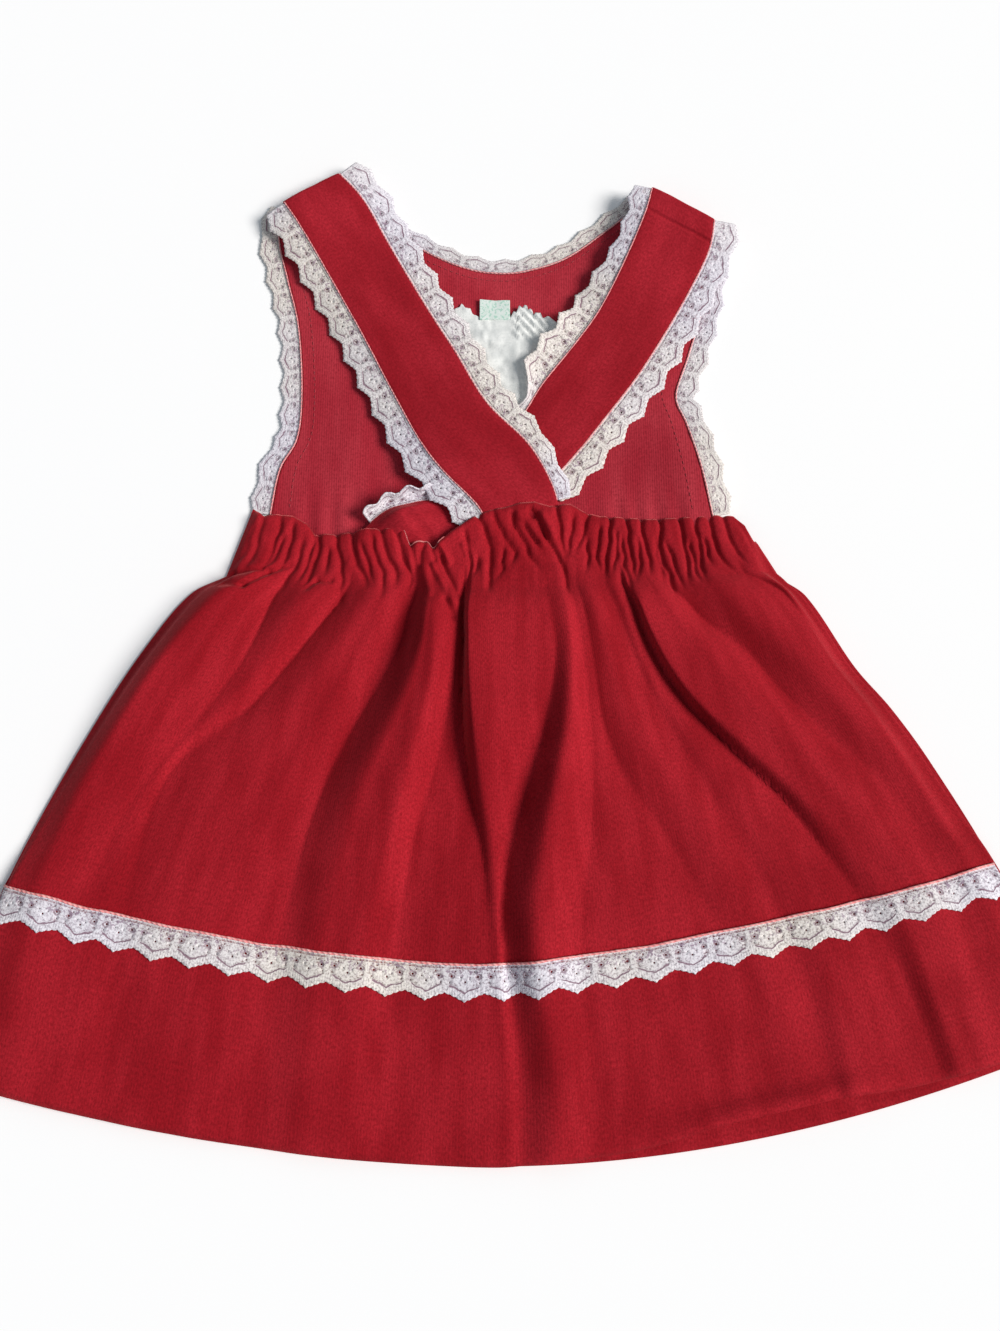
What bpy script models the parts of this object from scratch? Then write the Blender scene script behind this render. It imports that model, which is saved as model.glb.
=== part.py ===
"""Toddler's needlecord pinafore dress (sarafan) with crossed front straps and lace edgings.

The dress lies flat on its back. Drafting places below are in millimetres: x runs across from the
centre front, y runs up from the lowest point of the hem, and z is the height of a wall's underside
above the surface that the dress lies on. The parent empty moves the drafting origin, so that the
finished model stands with its origin under the middle of its box.
"""

import math
from collections import namedtuple

import bmesh
import bpy
from mathutils import Vector

MM = 0.001
DRESS_NAME = "sarafan_dress"
BOX_CENTRE = (0.02, 222.71)  # the middle of the garment's box in drafting places

# Walls
CORD_CLOTH = 1.4  # needlecord with its turnings pressed flat
LACE = 1.0  # lace and woven labels
SEAM_GAP = 0.35  # clearance between two pieces that are sewn together

# Lace: a scallop is as long as one segment of the edge that it is sewn to, about 13 to 17 mm.
SCALLOP_DEPTH = 2.6  # how far a notch is cut back from the tips

# Skirt
SKIRT_LENGTH = 232.0  # from the casing's lower edge to the hem at the centre front
CENTRE_X = -6.0
FRONT_COLUMNS = 60  # two for each gather and each scallop
BACK_COLUMNS = 20
GATHER = 1.5  # a gather rises and falls this much about the waist's height
WAIST_Z = 3.3
SIDE_FLAT = 0.1  # share of each half that comes down flat at the side seam
SIDE_COLUMNS = 3  # the gathers die out over this many columns there
GATHERS_END = 0.16  # share of the skirt's length where the gathers have run out
REST_Z = 2.0  # where the front lies on the back
HEM_LACE = (0.672, 0.735)  # the band's upper edge and its tips, as shares of the skirt's length
BACK_HEM_LACE = (0.695, 0.753)  # the same on the back panel, which is cut longer
HEM_LACE_RISE = LACE + SEAM_GAP  # the skirt's back lies this much higher over its own band
LEFT_SAG, RIGHT_SAG = 1.8, 1.42  # powers of the curves that the skirt's rows hang in
BACK_HEM_SAG = 1.9
FRONT_RISE, FRONT_FALL = (0.57, 0.65), (0.77, 0.84)  # where the front climbs over the back's band

Outline = namedtuple("Outline", "x y")
SKIRT_LEFT = [
    Outline(-124, 240), Outline(-139, 232), Outline(-155, 211), Outline(-172, 182),
    Outline(-195, 135), Outline(-209, 100), Outline(-224, 32),
]
SKIRT_RIGHT = [
    Outline(115, 241), Outline(128, 231), Outline(147, 199), Outline(161, 181),
    Outline(175, 159), Outline(198, 115), Outline(224, 47),
]
BACK_LEFT = [Outline(-120, 250)] + SKIRT_LEFT
BACK_RIGHT = [Outline(110, 250)] + SKIRT_RIGHT
BACK_WAIST_Y = 250.0
FRONT_ROWS = (1.0, 0.91, 0.82, 0.735, 0.672, 0.6, 0.5, 0.4, 0.31, 0.23, 0.16, 0.1, 0.05, 0.0)
BACK_ROWS = (1.0, 0.88, 0.78, 0.765, 0.725, 0.685, 0.67, 0.5, 0.3, 0.15, 0.0)
BACK_RISE = (0.68, 0.77)  # the stretch of it that lies over its own lace band

# The skirt's largest folds. A fold is a rounded ridge whose crest wanders across the panel:
# across is -1 at the left side and 1 at the right, given at each of FOLD_STOPS down the skirt.
FOLD_STOPS = (0.0, 0.12, 0.3, 0.5, 0.7, 1.0)
Fold = namedtuple("Fold", "name across height left_width right_width")
FOLDS = [
    Fold("left_side", (-0.95, -0.93, -0.93, -0.94, -0.95, -0.95), (2, 4, 4, 3.5, 2.5, 1), 0.06, 0.16),
    Fold("left_panel", (-0.62, -0.64, -0.76, -0.84, -0.8, -0.72), (2, 6, 5, 3, 2, 1.5), 0.14, 0.10),
    Fold("left_roll", (-0.18, -0.17, -0.22, -0.3, -0.34, -0.3), (3, 9, 10, 6, 3, 1.5), 0.20, 0.08),
    Fold("middle_roll", (0.0, 0.02, 0.01, -0.02, -0.08, -0.1), (5, 10, 7, 3, 1.5, 1), 0.10, 0.15),
    Fold("centre_ridge", (0.22, 0.23, 0.22, 0.2, 0.16, 0.2), (4, 10, 11, 8, 4, 2), 0.11, 0.06),
    Fold("middle_panel", (0.34, 0.38, 0.4, 0.46, 0.5, 0.46), (3, 5, 4, 3, 2.5, 2), 0.12, 0.10),
    Fold("right_roll", (0.52, 0.54, 0.64, 0.77, 0.86, 0.9), (3, 7, 7.5, 5, 2, 1.5), 0.08, 0.16),
    Fold("right_side", (0.84, 0.87, 0.92, 0.94, 0.95, 0.95), (2, 4.5, 4, 3, 2, 1), 0.12, 0.05),
]

# The casing's frilled upper edge, from the left side to the right.
HEADER = [
    Outline(-116, 273), Outline(-108, 266), Outline(-86, 257), Outline(-70, 258),
    Outline(-54, 258), Outline(-44, 252), Outline(-33, 250), Outline(-27, 259),
    Outline(-15, 264), Outline(3, 269), Outline(24, 270), Outline(40, 266),
    Outline(61, 264), Outline(86, 266), Outline(100, 264), Outline(107, 252),
]
CASING_ROWS = 4
CASING_GAP = 1.3  # the two edges lean towards each other, so they start further apart
STRAPS_UNDER_HEADER = (-74.0, 34.0)  # the header rides higher over the straps' ends
HEADER_LIFT = 4.2
LIFT_POWER = 1.3  # the lift is hinged at the casing's lower edge
LIFT_RAMP = 12.0

# Straps: each row gives both edges of the band and the underside's height, from the shoulder down.
StrapRow = namedtuple("StrapRow", "left_x left_y right_x right_y left_z right_z")
LEFT_STRAP = [
    StrapRow(-106, 423, -81, 438, 1.8, 1.8),
    StrapRow(-97, 409, -69, 424, 2.4, 2.4),
    StrapRow(-84, 386, -57, 402, 3.0, 3.0),
    StrapRow(-69, 358, -40, 371, 3.6, 3.6),
    StrapRow(-55, 330, -26, 347, 4.4, 4.4),
    StrapRow(-41, 303, -11, 320, 5.4, 5.4),
    StrapRow(-30, 287, 9, 298, 5.4, 5.4),
    StrapRow(-14, 270, 20, 274, 4.8, 4.8),
    StrapRow(-9, 258, 17, 260, 2.4, 2.4),
]
RIGHT_STRAP = [
    StrapRow(67, 429, 95, 412, 1.8, 1.8),
    StrapRow(63, 415, 92, 397, 2.4, 2.4),
    StrapRow(54, 393, 83, 378, 3.0, 3.0),
    StrapRow(42, 369, 70, 355, 3.0, 3.0),
    StrapRow(30, 351, 57, 334, 3.0, 3.0),
    StrapRow(15, 331, 43, 315, 3.0, 3.0),
    StrapRow(4, 313, 30, 298, 2.8, 2.8),
    StrapRow(-12, 297, 16, 281, 2.4, 2.2),
    StrapRow(-30, 280, -4, 271, 2.4, 2.0),
    StrapRow(-45, 273, -17, 263, 3.2, 2.0),
    StrapRow(-58, 267, -24, 256, 3.0, 2.0),
    StrapRow(-62, 259, -29, 250, 2.0, 2.0),
]
STRAP_COLUMNS = 4
LEFT_STRAP_ROWS = 16
RIGHT_STRAP_ROWS = 22
LEFT_ROWS_SHOWN = 14  # below these the left strap is under the header
RIGHT_ROWS_SHOWN = 14  # below these its outer edge is under the left strap
PUFF_ROWS_SHOWN = 20  # its inner edge shows again at the puff, down to here

# Back bodice: each row gives its left and right edge. The neck is scooped between the shoulders.
BodiceRow = namedtuple("BodiceRow", "left_x left_y right_x right_y")
BODICE_SIDES = [
    BodiceRow(-108, 250.35, 92, 250.35),
    BodiceRow(-106, 273, 88, 271),
    BodiceRow(-103, 291, 84, 292),
    BodiceRow(-96, 306, 79, 312),
    BodiceRow(-95, 330, 75, 326),
    BodiceRow(-98, 362, 81, 345),
    BodiceRow(-104, 386, 88, 368),
    BodiceRow(-109, 408, 93, 394),
    BodiceRow(-106, 423, 95, 412),
]
# The neck's edge, from the left strap's inner corner at the shoulder round to the right one's.
NECK = [
    Outline(-81, 438), Outline(-60, 414), Outline(-39, 400), Outline(-19, 391),
    Outline(-1, 389), Outline(14, 392), Outline(28, 398), Outline(45, 411), Outline(67, 429),
]
BODICE_COLUMNS = 20
SHOULDER_COLUMNS = 4  # of them, under each strap
BODICE_ROWS = 10

# Edgings sewn to the straps, the neck and the armholes
STRAP_LACE_WIDTH = 13.5
TUCKED_WIDTH = 7.5  # the left strap's inner lace where it is turned under, near the waist
TUCKED = (0.72, 0.95)  # the share of that strap over which it turns under
PUFF_LACE_WIDTH = 7.0  # the right strap's inner lace at the puff and under the left strap
PUFF_LACE_OPENS = (0.46, 0.56)  # the share of its length over which it widens again
NECK_LACE_WIDTH = 8.5
ARMHOLE_LACE_WIDTH = 10.5

# Label
LABEL_BOX = (-22.0, 327.0, 12.0, 364.0)  # left, bottom, right, top
TAB_BOX = (-14.0, 364.35, 1.0, 373.5)
LABEL_Z = 1.75

Look = namedtuple("Look", "color roughness")
LOOKS = {
    "red_cord": Look((0.36, 0.012, 0.024, 1.0), 0.85),
    "white_lace": Look((0.70, 0.66, 0.70, 1.0), 0.8),
    "white_label": Look((0.72, 0.74, 0.72, 1.0), 0.6),
    "mint_tab": Look((0.42, 0.68, 0.60, 1.0), 0.6),
}


def clear_scene():
    for thing in list(bpy.data.objects):
        bpy.data.objects.remove(thing, do_unlink=True)


def material(name, look):
    made = bpy.data.materials.new(name)
    made.use_nodes = True
    shader = made.node_tree.nodes["Principled BSDF"]
    shader.inputs["Base Color"].default_value = look.color
    shader.inputs["Roughness"].default_value = look.roughness
    shader.inputs["Metallic"].default_value = 0.0
    return made


def curve_value(stops, values, at):
    """A smooth curve through values at the rising stops."""
    last = len(stops) - 1
    i = max(0, min(last - 1, sum(stop <= at for stop in stops) - 1))

    def slope(k):
        low, high = max(k - 1, 0), min(k + 1, last)
        return (values[high] - values[low]) / (stops[high] - stops[low])

    span = stops[i + 1] - stops[i]
    t = min(1.0, max(0.0, (at - stops[i]) / span))
    return (
        values[i] * (2 * t**3 - 3 * t**2 + 1)
        + values[i + 1] * (3 * t**2 - 2 * t**3)
        + slope(i) * span * (t**3 - 2 * t**2 + t)
        + slope(i + 1) * span * (t**3 - t**2)
    )


def lengths_along(outline):
    """The share of the outline's length at each of its points."""
    total = [0.0]
    for a, b in zip(outline, outline[1:]):
        total.append(total[-1] + math.hypot(b.x - a.x, b.y - a.y))
    return [length / total[-1] for length in total]


def on_outline(outline, share):
    stops = lengths_along(outline)
    return (
        curve_value(stops, [point.x for point in outline], share),
        curve_value(stops, [point.y for point in outline], share),
    )


def on_straight(outline, x):
    """The height of a broken line at x."""
    for a, b in zip(outline, outline[1:]):
        if x <= b.x:
            break
    t = min(1.0, max(0.0, (x - a.x) / (b.x - a.x)))
    return a.y + t * (b.y - a.y)


def on_rows(rows, share):
    """One row of a table, read smoothly at a share of the way through it."""
    stops = range(len(rows))
    at = share * (len(rows) - 1)
    return type(rows[0])(*(curve_value(stops, column, at) for column in zip(*rows)))


def ramp(low, high, at):
    t = min(1.0, max(0.0, (at - low) / (high - low)))
    return t * t * (3 - 2 * t)


def bump(distance, left_width, right_width):
    """A rounded ridge of height 1, asymmetric about its crest."""
    q = distance / (left_width if distance < 0 else right_width)
    return (1 - q * q) ** 2 if abs(q) < 1 else 0.0


def grid_points(columns, rows, place):
    """The places of a panel's grid, as rows of columns, the lowest row first."""
    return [[Vector(place(column, row)) for column in range(columns + 1)] for row in range(rows + 1)]


def sheet(name, points, wall, look, home):
    """A cloth wall: a grid whose places are its underside, thickened upwards."""
    rows, columns = len(points) - 1, len(points[0]) - 1
    mesh = bpy.data.meshes.new(name)
    shape = bmesh.new()
    bmesh.ops.create_grid(shape, x_segments=columns, y_segments=rows, size=0.5)
    for vertex in shape.verts:
        column = round((vertex.co.x + 0.5) * columns)
        row = round((vertex.co.y + 0.5) * rows)
        vertex.co = points[row][column] * MM
    shape.normal_update()
    if sum(face.normal.z for face in shape.faces) < 0:
        bmesh.ops.reverse_faces(shape, faces=shape.faces)
    shape.to_mesh(mesh)
    shape.free()
    mesh.materials.append(look)
    made = bpy.data.objects.new(name, mesh)
    made.parent = home
    solid = made.modifiers.new("wall", "SOLIDIFY")
    solid.thickness = wall * MM
    solid.offset = 1.0
    bpy.data.collections[DRESS_NAME].objects.link(made)
    return points


def moved_out(points, distance):
    """A panel's places, each moved along the surface's upward normal."""
    result = []
    for r, row in enumerate(points):
        line = []
        for c, point in enumerate(row):
            across = row[min(c + 1, len(row) - 1)] - row[max(c - 1, 0)]
            up = points[min(r + 1, len(points) - 1)][c] - points[max(r - 1, 0)][c]
            line.append(point + across.cross(up).normalized() * distance)
        result.append(line)
    return result


# Skirt


def skirt_place(across, down, left=SKIRT_LEFT, right=SKIRT_RIGHT, top=SKIRT_LENGTH, sag=RIGHT_SAG):
    """The place on the flat skirt: across from -1 to 1, down from 0 at the top to 1 at the hem."""
    edge_x, edge_y = on_outline(left if across < 0 else right, down)
    middle_y = top * (1 - down)
    share = abs(across) ** (LEFT_SAG if across < 0 else sag)
    return CENTRE_X + abs(across) * (edge_x - CENTRE_X), middle_y + (edge_y - middle_y) * share


def gather(column):
    """Gathers alternate from column to column, and die out at the side seams."""
    side = min(column, FRONT_COLUMNS - column)
    return GATHER * (1 if column % 2 else -1) * min(1.0, side / SIDE_COLUMNS)


def fold_height(across, down):
    total = 0.0
    for fold in FOLDS:
        crest = curve_value(FOLD_STOPS, fold.across, down)
        height = max(0.0, curve_value(FOLD_STOPS, fold.height, down))
        total += height * bump(across - crest, fold.left_width, fold.right_width)
    return total


def skirt_front_place(column, row):
    across = 2 * column / FRONT_COLUMNS - 1
    down = FRONT_ROWS[row]
    x, y = skirt_place(across, down)
    waist = 1 - ramp(0.0, GATHERS_END, down)
    folds = fold_height(across, down) * ramp(0.0, GATHERS_END / 2, down)
    band = HEM_LACE_RISE * (ramp(*FRONT_RISE, down) - ramp(*FRONT_FALL, down))
    sides = ramp(0.0, SIDE_FLAT, 1 - abs(across))
    z = REST_Z + (WAIST_Z - REST_Z) * waist * sides + gather(column) * waist + folds * sides + band
    return x, y, z


def skirt_back_place(column, row):
    across = 2 * column / BACK_COLUMNS - 1
    down = BACK_ROWS[row]
    top_y = BACK_WAIST_Y
    x, y = skirt_place(across, down, BACK_LEFT, BACK_RIGHT, top_y, BACK_HEM_SAG)
    over_lace = BACK_RISE[0] < down < BACK_RISE[1]
    return x, y, HEM_LACE_RISE if over_lace else 0.0


def back_hem_place(column, row):
    across = 2 * column / FRONT_COLUMNS - 1
    notch = 0.0 if column % 2 else SCALLOP_DEPTH / SKIRT_LENGTH
    down = BACK_HEM_LACE[0] if row else BACK_HEM_LACE[1] - notch
    x, y = skirt_place(across, down, BACK_LEFT, BACK_RIGHT, BACK_WAIST_Y, BACK_HEM_SAG)
    return x, y, 0.0


def build_skirt(red, white, home):
    """The front panel, the back panel and the lace band sewn round both."""
    front = grid_points(FRONT_COLUMNS, len(FRONT_ROWS) - 1, skirt_front_place)
    sheet("skirt_front", front, CORD_CLOTH, red, home)
    back = grid_points(BACK_COLUMNS, len(BACK_ROWS) - 1, skirt_back_place)
    sheet("skirt_back", back, CORD_CLOTH, red, home)

    over = moved_out(front, CORD_CLOTH + SEAM_GAP)
    top, tips = (over[FRONT_ROWS.index(down)] for down in HEM_LACE)
    scallops = []
    for column, (high, low) in enumerate(zip(top, tips)):
        notch = 0.0 if column % 2 else SCALLOP_DEPTH / (high - low).length
        scallops.append(low.lerp(high, notch))
    sheet("hem_lace_front", [scallops, top], LACE, white, home)
    sheet("hem_lace_back", grid_points(FRONT_COLUMNS, 1, back_hem_place), LACE, white, home)


# Waist


def header_x(across):
    left, right = HEADER[0].x, HEADER[-1].x
    return left + (across + 1) / 2 * (right - left)


def casing_place(column, row):
    across = 2 * column / FRONT_COLUMNS - 1
    up = row / CASING_ROWS
    low_x, low_y = skirt_place(across, 0.0)
    low_y += CASING_GAP
    high_x = header_x(across)
    high_y = on_straight(HEADER, high_x)
    x = low_x + (high_x - low_x) * up
    left, right = STRAPS_UNDER_HEADER
    over_straps = ramp(left, left + LIFT_RAMP, x) - ramp(right - LIFT_RAMP, right, x)
    sides = ramp(0.0, SIDE_FLAT, 1 - abs(across))
    z = REST_Z + (WAIST_Z - REST_Z) * sides + gather(column)
    return x, low_y + (high_y - low_y) * up, z + HEADER_LIFT * over_straps * up**LIFT_POWER


# Straps and bodice


def strap_points(table, rows):
    """A strap's band, its lowest row first."""

    def place(column, row):
        edges = on_rows(table, 1 - row / rows)
        u = column / STRAP_COLUMNS
        return (
            edges.left_x + u * (edges.right_x - edges.left_x),
            edges.left_y + u * (edges.right_y - edges.left_y),
            edges.left_z + u * (edges.right_z - edges.left_z),
        )

    return grid_points(STRAP_COLUMNS, rows, place)


def bodice_top(column):
    """The bodice's upper edge: left shoulder seam, neck, right shoulder seam."""
    corner = BODICE_SIDES[-1]
    from_right = BODICE_COLUMNS - column
    if column < SHOULDER_COLUMNS:
        t = column / SHOULDER_COLUMNS
        start, end = Outline(corner.left_x, corner.left_y), NECK[0]
    elif from_right < SHOULDER_COLUMNS:
        t = from_right / SHOULDER_COLUMNS
        start, end = Outline(corner.right_x, corner.right_y), NECK[-1]
    else:
        neck_columns = BODICE_COLUMNS - 2 * SHOULDER_COLUMNS
        return on_outline(NECK, (column - SHOULDER_COLUMNS) / neck_columns)
    return start.x + t * (end.x - start.x), start.y + t * (end.y - start.y)


def bodice_place(column, row):
    u, v = column / BODICE_COLUMNS, row / BODICE_ROWS
    side = on_rows(BODICE_SIDES, v)
    top_x, top_y = bodice_top(column)
    base = BODICE_SIDES[0]
    base_x = base.left_x + u * (base.right_x - base.left_x)
    # The side edges and the upper edge are blended, as on a patch with four curved edges.
    x = (
        (1 - u) * side.left_x + u * side.right_x
        + (1 - v) * base_x + v * top_x
        - (1 - v) * base_x
        - v * ((1 - u) * BODICE_SIDES[-1].left_x + u * BODICE_SIDES[-1].right_x)
    )
    y = (
        (1 - u) * side.left_y + u * side.right_y
        + (1 - v) * base.left_y + v * top_y
        - (1 - v) * base.left_y
        - v * ((1 - u) * BODICE_SIDES[-1].left_y + u * BODICE_SIDES[-1].right_y)
    )
    return x, y, 0.0


def edging(name, edge, width, white, home):
    """Lace sewn to an edge of a panel. edge is the edge's places in order, with the panel on
    its right, and width(share) is how far the lace reaches at a share of the way."""
    last = 2 * (len(edge) - 1)
    sewn, reach = [], []
    for column in range(last + 1):
        i, half = divmod(column, 2)
        point = (edge[i] + edge[i + 1]) / 2 if half else edge[i]
        behind = edge[i if half else max(i - 1, 0)]
        ahead = edge[min(i + 1, len(edge) - 1)]
        out = Vector((behind.y - ahead.y, ahead.x - behind.x, 0.0)).normalized()
        tip = width(column / last) - (0.0 if half else SCALLOP_DEPTH)
        sewn.append(point + out * SEAM_GAP)
        reach.append(point + out * tip)
    sheet(name, [sewn, reach], LACE, white, home)


def straight_width(width):
    return lambda share: width


def left_inner_width(share):
    """The left strap's inner lace is turned under towards the waist."""
    return STRAP_LACE_WIDTH - (STRAP_LACE_WIDTH - TUCKED_WIDTH) * ramp(*TUCKED, share)


def right_inner_width(share):
    """The right strap's inner lace is folded narrow at the puff and under the other strap."""
    return PUFF_LACE_WIDTH + (STRAP_LACE_WIDTH - PUFF_LACE_WIDTH) * ramp(*PUFF_LACE_OPENS, share)


def build_bodice(red, white, home):
    """The back bodice, the two straps and the lace along their edges."""
    back = grid_points(BODICE_COLUMNS, BODICE_ROWS, bodice_place)
    sheet("back_bodice", back, CORD_CLOTH, red, home)
    left = strap_points(LEFT_STRAP, LEFT_STRAP_ROWS)
    sheet("front_strap_left", left, CORD_CLOTH, red, home)
    right = strap_points(RIGHT_STRAP, RIGHT_STRAP_ROWS)
    sheet("front_strap_right", right, CORD_CLOTH, red, home)

    neck = back[-1][SHOULDER_COLUMNS : BODICE_COLUMNS - SHOULDER_COLUMNS + 1]
    edging("neck_lace", neck, straight_width(NECK_LACE_WIDTH), white, home)
    armhole = straight_width(ARMHOLE_LACE_WIDTH)
    edging("armhole_lace_left", [row[0] for row in back[1:]], armhole, white, home)
    edging("armhole_lace_right", [row[-1] for row in back[:0:-1]], armhole, white, home)

    full = straight_width(STRAP_LACE_WIDTH)
    shown = left[LEFT_STRAP_ROWS - LEFT_ROWS_SHOWN :]
    edging("strap_lace_left_outer", [row[0] for row in shown], full, white, home)
    edging("strap_lace_left_inner", [row[-1] for row in shown[::-1]], left_inner_width, white, home)
    shown = right[RIGHT_STRAP_ROWS - RIGHT_ROWS_SHOWN :]
    edging("strap_lace_right_outer", [row[-1] for row in shown[::-1]], full, white, home)
    shown = right[RIGHT_STRAP_ROWS - PUFF_ROWS_SHOWN :]
    inner = right_inner_width
    edging("strap_lace_right_inner", [row[0] for row in shown], inner, white, home)


def patch(name, box, look, home):
    left, bottom, right, top = box

    def place(column, row):
        return left + column / 2 * (right - left), bottom + row / 2 * (top - bottom), LABEL_Z

    sheet(name, grid_points(2, 2, place), LACE, look, home)


def main():
    clear_scene()
    collection = bpy.data.collections.new(DRESS_NAME)
    bpy.context.scene.collection.children.link(collection)
    home = bpy.data.objects.new(DRESS_NAME + "_origin", None)
    home.location = (-BOX_CENTRE[0] * MM, -BOX_CENTRE[1] * MM, 0.0)
    collection.objects.link(home)

    looks = {name: material(name, look) for name, look in LOOKS.items()}
    red, white = looks["red_cord"], looks["white_lace"]
    build_skirt(red, white, home)
    casing = grid_points(FRONT_COLUMNS, CASING_ROWS, casing_place)
    sheet("waist_casing", casing, CORD_CLOTH, red, home)
    build_bodice(red, white, home)
    patch("neck_label", LABEL_BOX, looks["white_label"], home)
    patch("label_tab", TAB_BOX, looks["mint_tab"], home)


main()
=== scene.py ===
"""Looks of the toddler's needlecord pinafore dress: cloth, lace, seams, floor, light and camera.

Drafting places are in millimetres, as in the CAD: x runs across from the centre front, y up from
the lowest point of the hem, and z is the height above the floor that the dress lies on.
"""

import math
from collections import namedtuple

import bpy
import numpy as np
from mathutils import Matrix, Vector, geometry


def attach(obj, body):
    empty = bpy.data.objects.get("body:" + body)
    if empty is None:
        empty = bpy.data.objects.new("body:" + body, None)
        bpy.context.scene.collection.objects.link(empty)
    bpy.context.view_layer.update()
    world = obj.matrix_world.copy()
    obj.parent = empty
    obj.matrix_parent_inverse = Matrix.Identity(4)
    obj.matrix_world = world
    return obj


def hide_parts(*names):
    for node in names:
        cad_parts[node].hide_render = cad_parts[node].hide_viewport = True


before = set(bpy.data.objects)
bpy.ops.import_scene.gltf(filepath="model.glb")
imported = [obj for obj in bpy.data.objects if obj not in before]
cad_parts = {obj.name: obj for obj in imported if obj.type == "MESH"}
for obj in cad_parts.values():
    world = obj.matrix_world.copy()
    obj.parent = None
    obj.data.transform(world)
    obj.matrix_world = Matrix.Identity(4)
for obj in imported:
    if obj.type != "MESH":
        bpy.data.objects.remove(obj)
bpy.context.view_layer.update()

MM = 0.001
ORIGIN = np.array([0.02, 222.71, 0.0])  # the model's origin in drafting places
UP = np.array([0.0, 0.0, 1.0])

# ---------------------------------------------------------------- small maths


def curve(stops, values, at):
    """A smooth curve through values at the rising stops."""
    stops, values, at = (np.asarray(a, float) for a in (stops, values, at))
    last = len(stops) - 1
    i = np.clip(np.searchsorted(stops, at, side="right") - 1, 0, last - 1)
    low = np.maximum(np.arange(last + 1) - 1, 0)
    high = np.minimum(np.arange(last + 1) + 1, last)
    slope = (values[high] - values[low]) / (stops[high] - stops[low])
    span = stops[i + 1] - stops[i]
    t = np.clip((at - stops[i]) / span, 0, 1)
    return (
        values[i] * (2 * t**3 - 3 * t**2 + 1)
        + values[i + 1] * (3 * t**2 - 2 * t**3)
        + slope[i] * span * (t**3 - 2 * t**2 + t)
        + slope[i + 1] * span * (t**3 - t**2)
    )


def ramp(low, high, at):
    """A soft step from 0 at low to 1 at high."""
    t = np.clip((np.asarray(at, float) - low) / (high - low), 0, 1)
    return t * t * (3 - 2 * t)


def noise(x, y, seed):
    """Smooth noise from -1 to 1 with one lump to a unit."""
    x, y = np.broadcast_arrays(np.asarray(x, float), np.asarray(y, float))
    xi, yi = np.floor(x).astype(np.int64), np.floor(y).astype(np.int64)
    fx, fy = x - xi, y - yi
    fx, fy = fx * fx * (3 - 2 * fx), fy * fy * (3 - 2 * fy)

    def corner(i, j):
        n = (i * 374761393 + j * 668265263 + seed * 974634777) & 0xFFFFFFFF
        n = ((n ^ (n >> 13)) * 1274126177) & 0xFFFFFFFF
        return ((n ^ (n >> 16)) & 0xFFFF) / 32767.5 - 1

    near = corner(xi, yi) * (1 - fx) + corner(xi + 1, yi) * fx
    far = corner(xi, yi + 1) * (1 - fx) + corner(xi + 1, yi + 1) * fx
    return near * (1 - fy) + far * fy


def swelling(x, y, middle_x, middle_y, wide, tall):
    """A round swelling, 1 at its middle."""
    return np.exp(-(((x - middle_x) / wide) ** 2) - ((y - middle_y) / tall) ** 2)


def capsule(x, y, x1, y1, x2, y2, radius):
    """1 on a line between two places, falling to 0 at radius."""
    length = (x2 - x1) ** 2 + (y2 - y1) ** 2
    t = np.clip(((x - x1) * (x2 - x1) + (y - y1) * (y2 - y1)) / length, 0, 1)
    away = np.hypot(x - x1 - t * (x2 - x1), y - y1 - t * (y2 - y1)) / radius
    return np.maximum(1 - away**2, 0) ** 1.5


def unit(v):
    return v / np.maximum(np.linalg.norm(v, axis=-1, keepdims=True), 1e-9)


def together(*parts):
    """Arrays that are joined as the coordinates of places."""
    return np.stack(np.broadcast_arrays(*parts), -1)


def run_along(path):
    """The length of a path up to each of its points."""
    return np.concatenate([[0], np.cumsum(np.linalg.norm(np.diff(path, axis=0), axis=1))])


def on_path(at, stops, path):
    """The places on a path whose points are at the given stops."""
    return np.stack([np.interp(at, stops, column) for column in np.transpose(path)], 1)


def resample(path, spacing):
    path = np.asarray(path, float)
    run = run_along(path)
    count = max(2, int(round(run[-1] / spacing)) + 1)
    return on_path(np.linspace(0, run[-1], count), run, path)


def on_outline(outline, share):
    """The x and y of places on a smooth line through an outline's points."""
    outline = np.array(outline, float)
    run = run_along(outline)
    return curve(run / run[-1], outline[:, 0], share), curve(run / run[-1], outline[:, 1], share)


def linear(r, g, b):
    """A colour given as 0 to 255 display values."""
    c = np.array([r, g, b]) / 255
    c = np.where(c <= 0.04045, c / 12.92, ((c + 0.055) / 1.055) ** 2.4)
    return (*c.tolist(), 1.0)


# ---------------------------------------------------------------- materials


class Wire:
    """What a shader node gives, with the usual arithmetic."""

    def __init__(self, shader, socket):
        self.shader = shader
        self.socket = socket

    def __add__(self, other):
        return self.shader.math("ADD", self, other)

    def __mul__(self, other):
        return self.shader.math("MULTIPLY", self, other)

    def __sub__(self, other):
        return self.shader.math("SUBTRACT", self, other)

    def __rsub__(self, other):
        return self.shader.math("SUBTRACT", other, self)

    def __truediv__(self, other):
        return self.shader.math("DIVIDE", self, other)

    def __abs__(self):
        return self.shader.math("ABSOLUTE", self)


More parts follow.
